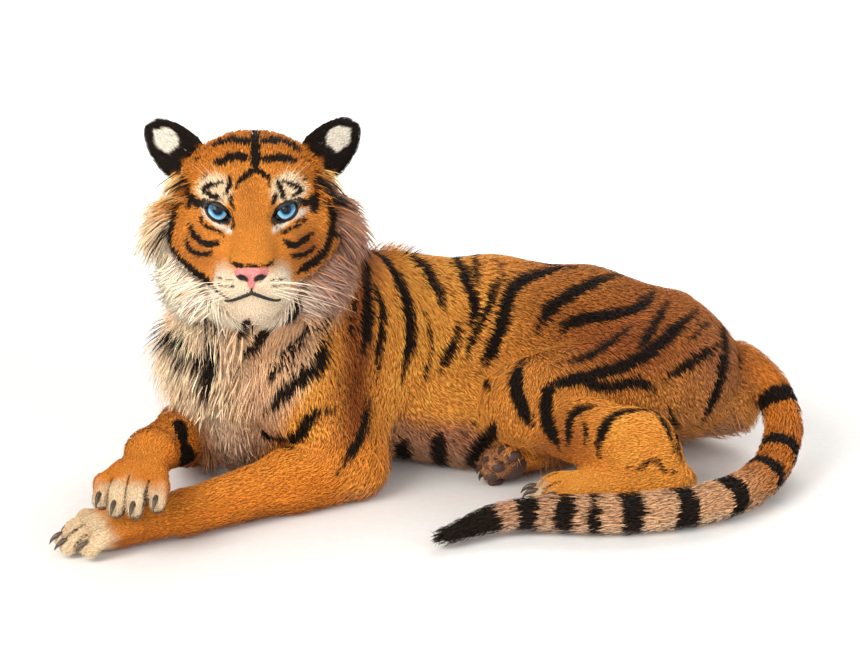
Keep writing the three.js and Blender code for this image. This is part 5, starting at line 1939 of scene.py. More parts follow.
@dataclass
class Tuft:
    """Hair as closed bent spikes with three sides: rings at shares of the length, and points at both ends."""

    rings: tuple[float, ...]
    wide: tuple[float, ...]
    thick: float
    patch: float = 0.003
    sunk: float = 2

    def faces(self, count: int) -> Array:
        """The triangles of tufts: a cap, bands of two triangles a side, and a tip.

        Args:
            count: how many tufts.

        Returns:
            Three point numbers a triangle.
        """
        n = len(self.rings)
        tris = []
        for j in range(3):
            k = (j + 1) % 3
            tris.append((1 + k, 1 + j, 0))
            for r in range(n - 1):
                a, b = 1 + 3 * r, 4 + 3 * r
                tris += [(a + j, a + k, b + k), (a + j, b + k, b + j)]
            tris.append((1 + 3 * (n - 1) + j, 1 + 3 * (n - 1) + k, 1 + 3 * n))
        size = 2 + 3 * n
        return (np.array(tris)[None] + size * np.arange(count)[:, None, None]).reshape(-1, 3)

    def build(self, roots: Array, normals: Array, ways: Array, length: Array, width: Array, rise: Array,
              droop: Array, uv: Array, floor: float) -> tuple[Array, Array, Array, Array]:
        """The vertices of tufts.

        The middle runs as root + way · length · s + normal · rise · sin(π/2 · min(1, 1.7 s)) − z · droop · s²
        from `sunk` under the skin, and a ring is a flat triangle across it.

        Args:
            roots, normals, ways: where tufts grow, the way out and the way along.
            length, width, rise, droop: their sizes in millimetres.
            uv: the UV place of each root.
            floor: no vertex lies lower.

        Returns:
            Vertices, faces, the share along the tuft of each vertex, and UV places by corner.
        """
        count = len(roots)
        across = unit(np.cross(ways, normals))
        stations = [0.0, *self.rings, 1.0]
        rows, shares, flat = [], [], []
        for i, s in enumerate(stations):
            lift = rise * math.sin(math.pi / 2 * min(1, 1.7 * s)) - (self.sunk if i == 0 else 0)
            centre = roots + ways * (length * s)[:, None] + normals * lift[:, None]
            centre[:, 2] -= droop * s * s
            if i in (0, len(stations) - 1):
                rows.append(centre[:, None])
                shares.append([s])
                flat.append([(0.5, s)])
                continue
            half = (width * self.wide[i - 1] / 2)[:, None]
            top = centre + normals * half * self.thick
            rows.append(np.stack([centre - across * half, top, centre + across * half], axis=1))
            shares.append([s] * 3)
            flat.append([(0, s), (0.5, s), (1, s)])
        points = np.concatenate(rows, axis=1).reshape(-1, 3)
        points[:, 2] = np.maximum(points[:, 2], floor)
        share = np.tile(np.concatenate([np.array(s) for s in shares]), count)
        faces = self.faces(count)
        local = np.tile((np.vstack([np.array(f, dtype=float) for f in flat]) - 0.5) * self.patch, (count, 1))
        spots = np.repeat(uv, 2 + 3 * len(self.rings), axis=0) + local
        return points, faces, share, spots[faces.ravel()]


@dataclass
class Zone:
    """A zone of long hair: its density at the skin's points, its count and the sizes of its locks.

    The droop and the widths are shares of the length, and `stand` is how far the way leans off the skin.
    """

    name: str
    share: Array
    count: int
    bounds: tuple[float, float]
    rise: float
    droop: float
    way: Array
    stand: float = 0.08
    widths: tuple[float, float] = (0.035, 0.07)
    tints: tuple[float, float] = (0.85, 1.12)


@dataclass
class Coat:
    """The whole coat: short tufts over all the skin, and long locks where the hair is long.

    No piece has more than `most` triangles, no hair lies lower than `floor`, and a long lock takes its colour
    at most `colour_reach` from its root.
    """

    body: Body
    marks: Markings
    skin: Skin
    palette: Palette = Palette()
    short: Tuft = field(default_factory=lambda: Tuft((0.42,), (1.0,), 0.42))
    long: Tuft = field(default_factory=lambda: Tuft((0.22, 0.66), (1.0, 0.75), 0.3))
    short_count: int = 165000
    most: int = 196000
    floor: float = 0.8
    colour_reach: float = 26

    def shades(self, p: Array, ground: Array, seed: int, softness: Array, vary: float = 0.13) -> Array:
        """Each tuft's colour: the ground, or the dark of the markings and of the painted shade between the
        toes where its visible half lies on one.

        Args:
            p: the middle of each tuft's visible half.
            ground: the ground colours.
            seed: the draw's seed.
            softness: how far the edge of a stripe is scattered, in millimetres.
            vary: how much tufts differ in tone.

        Returns:
            Linear colours.
        """
        rng = np.random.default_rng(seed)
        edge = self.marks.darkness(p, self.body.parts(p)) + rng.normal(0, 1, len(p)) * softness
        share = smooth(1.2, -1.2, edge)
        tone = np.exp(rng.normal(0, vary, len(p)) + 0.1 * waves(p, 55, 41))
        warm = rng.normal(0, 0.05, len(p))[:, None] * vec(0.5, 0.1, -0.8)
        coloured = ground * (tone[:, None] * np.exp(warm))
        return blend(coloured, self.palette.dark * (0.75 + 0.5 * rng.random(len(p)))[:, None], share)

    def piece(self, maker: Maker, material: Material, name: str, tuft: Tuft, roots: Roots,
              sizes: tuple[Array, Array, Array, Array], colour: Array, nodes: list[str],
              tints: tuple[float, float] = (0.7, 1.24)) -> None:
        """Makes one piece of the coat, each tuft darker at its root as painted shade and lighter at its tip
        as painted light.

        Args:
            maker: puts it into the scene.
            material: the coat's finish.
            name: the piece's name.
            tuft: the shape of each tuft.
            roots: where they grow.
            sizes: lengths, widths, rises and droops.
            colour: their colours.
            nodes: the nodes that it stands for.
            tints: how light the roots and the tips are.
        """
        length, width, rise, droop = sizes
        points, faces, share, uv = tuft.build(roots.points, roots.normals, roots.ways, length, width, rise,
                                              droop, roots.uv, self.floor)
        each = len(points) // max(len(roots.points), 1)
        # Darker roots are painted shade among the hair, lighter tips painted light.
        tint = np.interp(share, [0, 0.3, 1], [tints[0], 1.0, tints[1]])[:, None]
        maker.mesh(name, points, faces, material, "coat", nodes,
                   colours={"hair": np.clip(np.repeat(colour, each, axis=0) * tint, 0, 1)}, uv=("OFBake", uv))

    def build_short(self, maker: Maker, material: Material, nodes: list[str]) -> None:
        """Short tufts over all the skin, densest and finest on the face, in pieces of like size.

        Args:
            maker: puts them into the scene.
            material: the coat's finish.
            nodes: the nodes that they stand for.
        """
        skin = self.skin
        count = self.short_count
        share = 1 / np.maximum(skin.length, 5) ** 1.25
        share *= 1 - 0.85 * smooth(-0.5, -0.95, skin.normals[:, 2]) * smooth(60, 10, skin.points[:, 2])
        share *= self.bare(self.body.head.to_local(skin.points))
        roots = Roots.spread(skin, count, share, 11)
        rng = np.random.default_rng(12)
        n = len(roots.points)
        swirl = 0.2 * waves(roots.points, 70, 51) + 0.1 * waves(roots.points, 22, 52) + rng.normal(0, 0.1, n)
        across = np.cross(roots.normals, roots.ways)
        roots.ways = unit(roots.ways + across * swirl[:, None])
        length = roots.length * rng.uniform(0.75, 1.2, n) * (1 + 0.12 * waves(roots.points, 40, 53))
        width = (0.75 + 0.062 * roots.length) * rng.uniform(0.8, 1.25, n)
        rise = roots.depth * rng.uniform(0.35, 0.85, n) * np.minimum(1, 0.5 + roots.length / 30)
        droop = np.zeros(n)
        middle = roots.points + roots.ways * (length * 0.5)[:, None] + roots.normals * rise[:, None]
        colour = self.shades(middle, roots.ground, 13, 0.5 + 0.045 * roots.length)
        per_piece = self.most // len(self.short.faces(1))
        order = np.argsort(roots.part * 1000 + roots.points[:, 0] * 0.3, kind="stable")
        for number, start in enumerate(range(0, n, per_piece)):
            pick = order[start:start + per_piece]
            self.piece(maker, material, f"coat_short_{number + 1}", self.short, roots.only(pick),
                       (length[pick], width[pick], rise[pick], droop[pick]), colour[pick], nodes)

    def bare(self, local: Array) -> Array:
        """0 where no hair grows: on the eyes, the nose leather and the lips, and 1 elsewhere.

        Args:
            local: points of the head's frame.

        Returns:
            One value a point.
        """
        eye = self.body.head.round_eye(local, 5, 3.5)
        nose = np.minimum(Ball(vec(0, 122, -87), vec(30, 30, 17)).distance(local),
                          Ball(vec(0, 122, -100), vec(7, 30, 12)).distance(local))
        return smooth(-1, 2, eye) * smooth(-2, 3, nose)

    def zones(self) -> list[Zone]:
        """Where long hair grows, worked out at the skin's points.

        Returns:
            The zones; their order picks the seeds of their locks.
        """
        skin, head = self.skin, self.body.head
        x, y, z = skin.points.T
        local = head.to_local(skin.points)
        side = np.sign(local[:, 0])
        aside, out, up = one_side(local).T
        outward_x, _, outward_z = skin.normals.T
        on_head = np.exp(-np.maximum(skin.rows[Part.HEAD], 0) / 12)
        first = skin.rows[Part.TRUNK:].min(axis=0) > skin.rows[Part.TRUNK] - 4
        on_trunk = np.exp(-np.maximum(skin.rows[Part.TRUNK], 0) / 8) * first
        off_arm = 1 - skin.colouring.right_arm(skin.points)

        ruff = (on_head * smooth(-4, 16, aside - self.marks.border(up)) * smooth(104, 60, up)
                * smooth(-140, -110, out) * smooth(45, -5, out) * smooth(62, 95, aside))
        temple = (on_head * smooth(84, 104, aside) * smooth(-24, 0, up) * smooth(62, 40, up)
                  * smooth(-130, -100, out) * smooth(-8, -44, out))
        throat = smooth(-128, -160, up) * smooth(60, -20, out) * smooth(-190, -130, out) * on_head
        low_breast = smooth(-215, -285, x - 0.5 * (z - 200)) * smooth(-70, -150, y) * smooth(70, 120, z)
        high_breast = smooth(280, 330, z) * smooth(-120, -200, y) * smooth(-190, -240, x)
        breast = np.maximum(low_breast, high_breast) * on_trunk * off_arm
        brisket = on_trunk * off_arm * smooth(150, 115, z) * smooth(-310, -345, x) * smooth(-20, -70, y)
        mane = (on_trunk * (smooth(0.0, 0.5, -outward_x) * smooth(-300, -350, x) * smooth(170, 230, z))
                * smooth(30, -40, y))
        nape = hill((x, -84, 34), (y, 10, 50), (z, 400, 80)) * smooth(0.6, 0.9, outward_z) * on_trunk
        belly = smooth(118, 70, z) * smooth(-80, -30, x) * smooth(380, 250, x) * on_trunk
        belly *= smooth(0.5, -0.1, outward_z) * smooth(8, 30, z)
        tail_root = on_trunk * hill((x, 560, 42), (z, 215, 60)) * smooth(0.0, 0.4, outward_z)
        rump = on_trunk * smooth(440, 520, x) * smooth(150, 100, z) * smooth(0.3, -0.3, outward_z)
        rump *= smooth(8, 30, z) * smooth(60, 0, y)
        elbow = on_trunk * hill((x, -120, 50), (y, -200, 70), (z, 90, 60))

        flare = smooth(-40, -95, up)
        spread = head.turn_out(np.c_[(0.55 + 0.5 * flare) * side, np.full(len(x), -0.2), 0.3 * flare - 0.9])
        aslant = head.turn_out(np.c_[0.8 * side, np.full(len(x), -0.2), np.full(len(x), -0.6)])
        down, back, hang, up_back, trail = (plain(vec(*way), len(x)) for way in (
            (0.02, -0.15, -1.0), (0.5, -0.25, -0.8), (-0.45, -0.2, -0.9), (0.75, 0.0, 0.5), (0.9, 0, -0.35)))
        return [
            Zone("ruff", ruff, 9000, (38, 82), 20, 0.1, spread, 0.26),
            Zone("temple", temple, 1000, (26, 46), 13, 0.08, aslant, 0.34),
            Zone("throat", throat, 2400, (26, 46), 8, 0.12, down),
            Zone("breast", breast, 10500, (26, 46), 8, 0.06, down),
            # The brisket's locks have darker roots as painted shade under the breast.
            Zone("brisket", brisket, 1300, (34, 62), 8, 0.0, down, 0.12, (0.05, 0.09), (0.6, 1.0)),
            Zone("mane", mane, 2600, (40, 70), 20, 0.1, hang, 0.3),
            Zone("nape", nape, 200, (24, 42), 8, 0.0, up_back, 0.7, (0.07, 0.12), (0.85, 1.2)),
            Zone("belly", belly, 1900, (26, 44), 7, 0.1, back),
            Zone("tail_root", tail_root, 420, (26, 44), 7, 0.0, trail, 0.06, (0.05, 0.08)),
            Zone("rump", rump, 420, (28, 46), 8, 0.1, back, 0.08, (0.05, 0.1)),
            Zone("elbow", elbow, 320, (24, 38), 9, 0.05, back, 0.08, (0.05, 0.1)),
        ]

    def build_long(self, maker: Maker, material: Material, nodes: list[str]) -> None:
        """Long locks, zone by zone: each lock is a clump of hair that bends over its neighbours.

        Args:
            maker: puts them into the scene.
            material: the coat's finish.
            nodes: the nodes that they stand for.
        """
        for seed, zone in enumerate(self.zones()):
            count = zone.count
            roots = Roots.spread(self.skin, count, zone.share, 100 + seed)
            rng = np.random.default_rng(200 + seed)
            n = len(roots.points)
            lead = Roots.spread(self.skin.combed(zone.way), count, zone.share, 100 + seed)
            ways = unit(blend(roots.ways, unit(lead.ways), 0.7))
            across = np.cross(roots.normals, ways)
            clump = 0.28 * waves(roots.points, 46, 61) + rng.normal(0, 0.13, n)
            ways = unit(ways + across * clump[:, None])
            length = rng.uniform(*zone.bounds, n) * (1 + 0.15 * waves(roots.points, 60, 62))
            width = length * rng.uniform(*zone.widths, n)
            lift = zone.rise * rng.uniform(0.35, 1.15, n)
            reach = np.minimum(length * 0.65, self.colour_reach)
            middle = roots.points + ways * reach[:, None] + roots.normals * roots.depth[:, None]
            colour = self.shades(middle, roots.ground, 300 + seed, np.full(n, 1.6), 0.08)
            roots.ways = unit(ways + roots.normals * zone.stand)
            self.piece(maker, material, f"coat_{zone.name}", self.long, roots,
                       (length, width, lift, length * zone.droop), colour, nodes, zone.tints)


def circle(count: int) -> tuple[Array, Array]:
    """The cosines and sines of `count` even angles round a circle."""
    angle = 2 * math.pi * np.arange(count) / count
    return np.cos(angle), np.sin(angle)


def capped_tube(rings: Array, first: Array, last: Array) -> tuple[Array, Array]:
    """A closed surface through rings of points, with a point beyond each end.

    Rings turn so that (next point − point) × (next ring − ring) looks outward.

    Args:
        rings: rows × columns × 3.
        first: the point before the first ring.
        last: the point after the last ring.

    Returns:
        Points and triangles.
    """
    rows, columns = rings.shape[:2]
    quads = grid_faces(rows, columns, True)
    c = np.arange(columns)
    after = (c + 1) % columns
    bottom, top = rows * columns, rows * columns + 1
    end = (rows - 1) * columns
    caps = np.vstack([np.stack([after, c, np.full(columns, bottom)], axis=1),
                      np.stack([end + c, end + after, np.full(columns, top)], axis=1)])
    faces = np.vstack([quads[:, [0, 1, 2]], quads[:, [0, 2, 3]], caps])
    return np.vstack([rings.reshape(-1, 3), first, last]), faces


def tube_along(path: Array, radii: Array, sides: int, up: Array, flat: float = 1) -> tuple[Array, Array]:
    """A closed round tube along a path: c + r (cos a · across + flat · sin a · up'), pointed at both ends.

    Args:
        path: the points of its middle.
        radii: the radius at each.
        sides: points round it.
        up: a way that isn't along the path.
        flat: its thickness as a share of its width.

    Returns:
        Points and triangles.
    """
    way = unit(np.gradient(path, axis=0))
    across = unit(np.cross(up, way))
    above = np.cross(way, across)
    c, s = circle(sides)
    rings = path[:, None] + radii[:, None, None] * (across[:, None] * c[None, :, None]
                                                    + flat * above[:, None] * s[None, :, None])
    return capped_tube(rings, path[0] - way[0] * radii[0] * 0.5, path[-1] + way[-1] * radii[-1] * 0.5)


def joined(pieces: list[tuple[Array, Array]]) -> tuple[Array, Array]:
    """Several surfaces as one: their points in a row, and their faces renumbered."""
    starts = np.cumsum([0] + [len(p) for p, _ in pieces])
    return np.vstack([p for p, _ in pieces]), np.vstack([f + s for (_, f), s in zip(pieces, starts)])


# ---- Eyes, lids, nose, lips, whiskers ----

@dataclass
class Eyes:
    """The eyeballs, each with a low cornea and its pole on the line of sight, and the lids round them.

    The line of sight passes `over` millimetres above the camera.
    """

    head: Head
    view: Viewpoint
    cornea: float = 1.6
    rows: int = 40
    columns: int = 64
    lid_rows: int = 16
    lid_columns: int = 96
    lid_width: float = 15
    crease: float = 1.6
    over: float = 60

    def ball(self, side: int) -> tuple[Array, Array, Array, Array]:
        """An eyeball: radius + cornea · exp(−(θ/0.6)²) at the angle θ from the line of sight.

        Args:
            side: 1 for the right eye, −1 for the left.

        Returns:
            Points, triangles, θ and how far below the middle each point is, in radii.
        """
        head = self.head
        centre = head.to_model(vec(side * head.eye_aside, head.eye_deep, head.eye_up)[None])[0]
        sight = unit(self.view.place - centre + vec(0, 0, self.over))
        across = unit(np.cross(sight, vec(0, 0, 1)))
        above = np.cross(across, sight)
        theta = np.linspace(0.02, math.pi - 0.02, self.rows)
        radius = head.eye_radius + self.cornea * np.exp(-(theta / 0.6) ** 2)
        c, s = circle(self.columns)
        ring = c[:, None] * across + s[:, None] * above
        rings = centre + radius[:, None, None] * (np.cos(theta)[:, None, None] * sight
                                                  + np.sin(theta)[:, None, None] * ring[None])
        points, faces = capped_tube(rings, centre + sight * radius[0], centre - sight * radius[-1])
        low = (centre[2] - points[:, 2]) / head.eye_radius
        return points, faces, np.r_[np.repeat(theta, self.columns), 0, math.pi], low

    def lids(self, side: int) -> tuple[Array, Array, Array]:
        """The lids: a band from the opening's rim out to the skin, tucked in at its edges, closed behind.

        At share v its places are the almond grown by width · v. Its depth runs from the eyeball to the skin
        as a smooth step, with a low fold crease · sin(π v) that is higher above the eye.

        Args:
            side: 1 for the right eye, −1 for the left.

        Returns:
            Points, quads and how far each is from the dark rim: v, less over the eye and at its corners.
        """
        head = self.head
        angle = 2 * math.pi * np.arange(self.lid_columns) / self.lid_columns
        share = np.r_[-0.35, -0.12, np.linspace(0, 1, self.lid_rows), 1.06]
        rows = []
        for v in share:
            on_lid, before, beyond = max(v, 0), min(v, 0), max(v - 1, 0)
            x, z = head.almond(side, angle, self.lid_width * max(v, -0.05)).T
            away = (x - side * head.eye_aside) ** 2 + (z - head.eye_up) ** 2
            on_ball = head.eye_deep + np.sqrt(np.maximum((head.eye_radius + 1) ** 2 - away, 9)) + 1.2
            skin = head.face_at(x, z, 4.6)[:, 1]
            t = float(smooth(0, 0.85, np.array([on_lid]))[0])
            y = on_ball + (skin - on_ball) * t
            fold = self.crease + 1.2 * smooth(-2, 6, z - head.eye_up)
            y = np.maximum(y, on_ball * (1 - t) + y * t) + fold * math.sin(math.pi * on_lid)
            rows.append(np.stack([x, y + before * 22 - beyond * 80, z], axis=1))
        faces = grid_faces(len(share) + 1, self.lid_columns, True) % (len(share) * self.lid_columns)
        outer = smooth(0.5, 0.95, side * np.cos(angle))
        inner = smooth(0.6, 0.95, -side * np.cos(angle))
        near = (1.15 - 0.45 * smooth(-0.2, 0.6, np.sin(angle))) * (1 - 0.7 * outer) * (1 - 0.55 * inner)
        return np.vstack(rows), faces, (share[:, None] * near).ravel()

    def build(self, maker: Maker, eye: Material, lid: Material) -> None:
        """Makes both eyes and their lids.

        Args:
            maker: puts pieces into the scene.
            eye: the eyeballs' finish.
            lid: the lids' finish.
        """
        for name, side in (("right", 1), ("left", -1)):
            points, faces, theta, low = self.ball(side)
            maker.mesh(f"eyeball_{name}", points, faces, eye, "eye", [f"eye_{name}"],
                       values={"theta": theta, "low": low})
            points, faces, share = self.lids(side)
            maker.mesh(f"lids_{name}", self.head.to_model(points), faces, lid, "coat", values={"rim": share})


@dataclass
class Nose:
    """The nose leather, its field as in the flesh, with nostrils, and the dark lips."""

    head: Head
    cell: float = 1.7
    top: float = -66.5

    def distance(self, q: Array) -> Array:
        """The leather's field: a bar, a bulb, two wings and a strip down, less the nostrils.

        Args:
            q: points in the head's frame.

        Returns:
            One distance a point.
        """
        shapes = [
            Bone(vec(-20, 106, -76), vec(20, 106, -76), 9.5, 9.5, 8),
            Ball(vec(0, 110, -80), vec(26, 20, 13), 10),
            Ball(vec(16, 106, -86), vec(11, 16, 10), 8), Ball(vec(-16, 106, -86), vec(11, 16, 10), 8),
            Bone(vec(0, 115, -88), vec(0, 118, -102), 10.5, 6, 9),
        ]
        return hollow(melt(shapes, q), self.head.nostrils(q), 3)

    def pits(self, q: Array) -> Array:
        """How far from the leather's dark places a point is: the nostrils, their slits and the upper edge."""
        slit = Ball(vec(22, 110, -93), vec(9, 40, 6.5)).distance(one_side(q))
        return np.minimum(np.minimum(self.head.nostrils(q), slit), self.top - q[:, 2])

    def build(self, maker: Maker, leather: Material, lip: Material) -> None:
        """Makes the nose, the lips' edge and the groove over them.

        Args:
            maker: puts pieces into the scene.
            leather: the nose's finish.
            lip: the lips' finish.
        """
        box = ((-48, 49), (76, 142), (-130, -56))
        lattice = Lattice(self.distance, tuple(np.arange(low, high, self.cell) for low, high in box))
        points = lattice.points()
        maker.mesh("nose_leather", self.head.to_model(points), lattice.quads(), leather, "nose", ["nose"],
                   values={"pit": self.pits(points)})
        line = self.head.mouth_line(41) - vec(0, 4.4, 0)
        t = np.linspace(-1, 1, len(line))
        mouth = tube_along(line, 4.2 * (1 - 0.5 * np.abs(t) ** 2), 10, vec(0, 1, 0))
        strip = self.head.lip_line(15) - vec(0, 2.8, 0)
        groove = tube_along(strip, np.full(len(strip), 1.5), 8, vec(0, 1, 0))
        points, faces = joined([mouth, groove])
        maker.mesh("lips", self.head.to_model(points), faces, lip, "coat_dark")


@dataclass
class Whiskers:
    """Whiskers in rows on the pads and three over each eye, each a thin tapered bow."""

    head: Head
    rows: tuple[float, ...] = (-99, -108, -117)
    columns: tuple[float, ...] = (30, 39, 48)
    length: tuple[float, float] = (80, 135)
    brow_up: float = 52
    brow_length: float = 52
    radius: float = 0.6
    steps: int = 12

    def build(self, maker: Maker, material: Material) -> None:
        """Makes all whiskers as one piece: root + way · l s + fall · l s², with a radius r (1 − 0.85 s).

        Args:
            maker: puts pieces into the scene.
            material: their finish.
        """
        rng = np.random.default_rng(71)
        s = np.linspace(0, 1, self.steps)
        taper = self.radius * (1 - 0.85 * s)
        out = []
        for side, (i, z), (j, x) in product((1, -1), enumerate(self.rows), enumerate(self.columns)):
            root = self.head.face_at(vec(side * (x + 3 * (i % 2))), vec(z), 4)[0]
            length = rng.uniform(*self.length) * (0.75 + 0.25 * j / len(self.columns))
            way = vec(side * (0.9 + 0.1 * j), 0.55 - 0.16 * j, 0.12 - 0.13 * i) + rng.normal(0, 0.06, 3)
            fall = vec(side * 0.05, -0.16, -0.22)
            path = root + unit(way) * (length * s)[:, None] + fall * (length * s * s)[:, None]
            out.append(tube_along(path, taper, 5, vec(0, 0.3, 1)))
        for side, k in product((1, -1), range(3)):
            root = self.head.face_at(vec(side * (50 + 8 * k)), vec(self.brow_up), 4)[0]
            way = unit(vec(side * (0.25 + 0.2 * k), 0.55, 0.75)) * self.brow_length
            fall = vec(side * 0.1, -0.3, 0.0) * self.brow_length
            path = root + way * s[:, None] + fall * (s * s)[:, None]
            out.append(tube_along(path, taper * 0.7, 5, vec(0.3, 1, 0)))
        points, faces = joined(out)
        maker.mesh("whiskers", self.head.to_model(points), faces, material, "coat_pale")


# ---- Ears, claws and pads ----

@dataclass
class Ear:
    """One ear: a cupped shell with a round rim, its back turned forward, with its own short and long hair."""

    head: Head
    side: int
    height: float = 122
    half: float = 53
    cup: float = 30
    thick: float = 6
    rows: int = 44
    columns: int = 40
    base: Point = (111, -80, 62)
    tip: Point = (0.70, -0.18, 0.69)
    face: Point = (0.3, 0.95, -0.06)
    widest: float = 0.36
    middles: tuple[float, float] = (0.25, 0.75)
    unmarked: float = 14
    floor: float = 0.8
    palette: Palette = Palette()

    def sheet(self, v: Array, u: Array, inset: float) -> Array:
        """A face of the shell at shares v up (0..1) and u across (−1..1).

        The half width is (half − inset) √(1 − (max(0, v − w)/0.66)²)(0.72 + 0.28 min(1, v/w)), w = widest,
        and the cup curls it back by cup (1 − 0.45 v) u² + 10 v².

        Args:
            v, u: shares, alike in shape.
            inset: how far inside the outer face.

        Returns:
            Points in the head's frame.
        """
        tip, face = vec(*self.tip), vec(*self.face)
        across = unit(np.cross(face, tip))
        face = unit(np.cross(tip, across))
        tip = unit(np.cross(across, face))
        tip = -tip if tip[2] < 0 else tip
        round_ = np.sqrt(np.maximum(1 - (np.maximum(0, v - self.widest) / 0.66) ** 2, 0.0))
        half = (self.half - 1.5 - inset) * round_ * (0.72 + 0.28 * np.minimum(1, v / self.widest))
        curl = self.cup * (1 - 0.45 * v) * u * u + 10 * v * v
        point = (vec(*self.base) + (half * u * (1 - 0.1 * u * u))[..., None] * across
                 + ((self.height - 2 - inset) * v - 22)[..., None] * tip
                 + (14 - curl - inset)[..., None] * face)
        point[..., 0] *= self.side
        return point

    @staticmethod
    def place_on_map(v: Array, u: Array, middle: float) -> Array:
        """The UV places of shares v and u: a chart of half width 0.22 round `middle`, 0.9 high."""
        return np.stack([u * 0.22 + middle, v * 0.9 + 0.05], axis=1)

    def build(self, maker: Maker, skin: Material, coat: Material, tuft: Tuft, long: Tuft,
              count: int = 5200) -> None:
        """Makes the shell, black behind with a cream spot and pale inside, and its hair.

        Args:
            maker: puts it into the scene.
            skin: the skin's finish.
            coat: the coat's finish.
            tuft, long: the shapes of short and long hair.
            count: how many short tufts.
        """
        name = "right" if self.side > 0 else "left"
        v, u = np.meshgrid(np.linspace(0, 1, self.rows), np.linspace(-1, 1, self.columns), indexing="ij")
        points = np.vstack([self.sheet(v, u, inset).reshape(-1, 3) for inset in (0, self.thick)])
        layer = self.rows * self.columns
        a = grid_faces(self.rows, self.columns)
        b = grid_faces(self.rows, self.columns, start=layer)[:, ::-1]
        rim = np.r_[np.arange(self.columns - 1), np.arange(self.rows - 1) * self.columns + self.columns - 1,
                    (self.rows - 1) * self.columns + np.arange(self.columns - 1, 0, -1),
                    np.arange(self.rows - 1, 0, -1) * self.columns]
        after = np.roll(rim, -1)
        edge = np.stack([after, rim, layer + rim, layer + after], axis=1)
        faces = np.vstack([a, b, edge])
        if self.side > 0:
            faces = faces[:, ::-1]
        v, u = v.ravel(), u.ravel()
        ground = np.vstack([self.front_colour(v, u), self.inner_colour(v, u)])
        spots = np.vstack([self.place_on_map(v, u, middle) for middle in self.middles])
        maker.mesh(f"ear_shell_{name}", self.head.to_model(points), faces, skin, "coat_dark", [f"ear_{name}"],
                   colours={"ground": ground}, values={"dark": np.full(len(points), self.unmarked)},
                   uv=("OFBake", spots[faces.ravel()]))
        self._hair(maker, coat, tuft, long, count, name)

    def front_colour(self, v: Array, u: Array) -> Array:
        """The forward face: orange at its root, black above, with a cream spot.

        Args:
            v: places from root to tip.
            u: places across.

        Returns:
            One colour a place.
        """
        c = self.palette
        away = np.sqrt(((v - 0.65) / 0.2) ** 2 + ((u + 0.22) / 0.46) ** 2)
        colour = blend(plain(c.orange, len(v)), c.dark, smooth(0.1, 0.24, v + 0.05 * np.sin(9 * u)))
        return blend(colour, c.white, smooth(1.1, 0.85, away + 0.08 * np.sin(14 * u + 9 * v)))

    def inner_colour(self, v: Array, u: Array) -> Array:
        """The inner face: pinkish cream, dark along the upper rim.

        Args:
            v: places from root to tip.
            u: places across.

        Returns:
            One colour a place.
        """
        c = self.palette
        colour = plain(c.cream * vec(0.85, 0.72, 0.66), len(v))
        rim = np.maximum(v, np.abs(u) * smooth(0.3, 0.6, v))
        return blend(colour, c.dark, 0.85 * smooth(0.86, 0.97, rim))

    def _hair(self, maker: Maker, coat: Material, tuft: Tuft, long: Tuft, count: int,
              name: str) -> None:
        """Short tufts on both faces that run to the tip, and long pale hair inside from the fore edge.

        Args:
            maker: puts pieces into the scene.
            coat: the hair's finish.
            tuft: the shape of the short tufts.
            long: the shape of the long hair.
            count: how many tufts the front has.
            name: the ear's side.
        """
        rng = np.random.default_rng(81 + self.side)
        step = 0.01
        parts = []
        for inset, colour_of, out, n, bounds, shape, rise in (
                (0, self.front_colour, 1, count, (8, 15), tuft, 4.5),
                (self.thick, self.inner_colour, -1, count // 2, (8, 14), tuft, 3.5),
                (self.thick, self.inner_colour, -1, 420, (26, 46), long, 10)):
            v = rng.uniform(0.03, 0.985, n)
            u = rng.uniform(-0.99, 0.99, n)
            if shape is long:
                v = rng.uniform(0.06, 0.62, n)
                u = np.sign(rng.normal(0, 1, n)) * rng.uniform(0.5, 0.98, n)
            here = self.sheet(v, u, inset)
            along = unit(self.sheet(np.minimum(v + step, 1), u, inset) - here)
            across = unit(self.sheet(v, u + step, inset) - here)
            normal = unit(np.cross(across, along))
            outer = self.sheet(v, u, inset - out) - here
            normal *= np.sign((normal * outer).sum(axis=1))[:, None]
            way = unit(along - across * (0.35 * u)[:, None] * (1 if shape is tuft else 2.2)
                       + rng.normal(0, 0.12, (n, 3)))
            length = rng.uniform(*bounds, n) * (1 - 0.35 * v)
            width = 0.8 + 0.05 * length
            colour = colour_of(v, u)
            if shape is long:
                colour = plain(self.palette.white * 0.92, n)
            colour = colour * np.exp(rng.normal(0, 0.12, n))[:, None]
            uv = self.place_on_map(v, u, self.middles[0 if out > 0 else 1])
            lift = rise * rng.uniform(0.4, 1, n)
            turn = self.head.turn_out
            points, faces, share, spots = shape.build(self.head.to_model(here), turn(normal), turn(way),
                                                      length, width, lift, np.zeros(n), uv, self.floor)
            each = len(points) // n
            # Darker roots are painted shade among the hair, lighter tips painted light.
            tint = np.interp(share, [0, 0.3, 1], [0.6, 0.9, 1.1])[:, None]
            parts.append((points, faces, np.clip(np.repeat(colour, each, axis=0) * tint, 0, 1), spots))
        points, faces = joined([(p, f) for p, f, _, _ in parts])
        maker.mesh(f"coat_ear_{name}", points, faces, coat, "coat_dark", [f"ear_{name}"],
                   colours={"hair": np.vstack([c for _, _, c, _ in parts])},
                   uv=("OFBake", np.vstack([s for _, _, _, s in parts])))


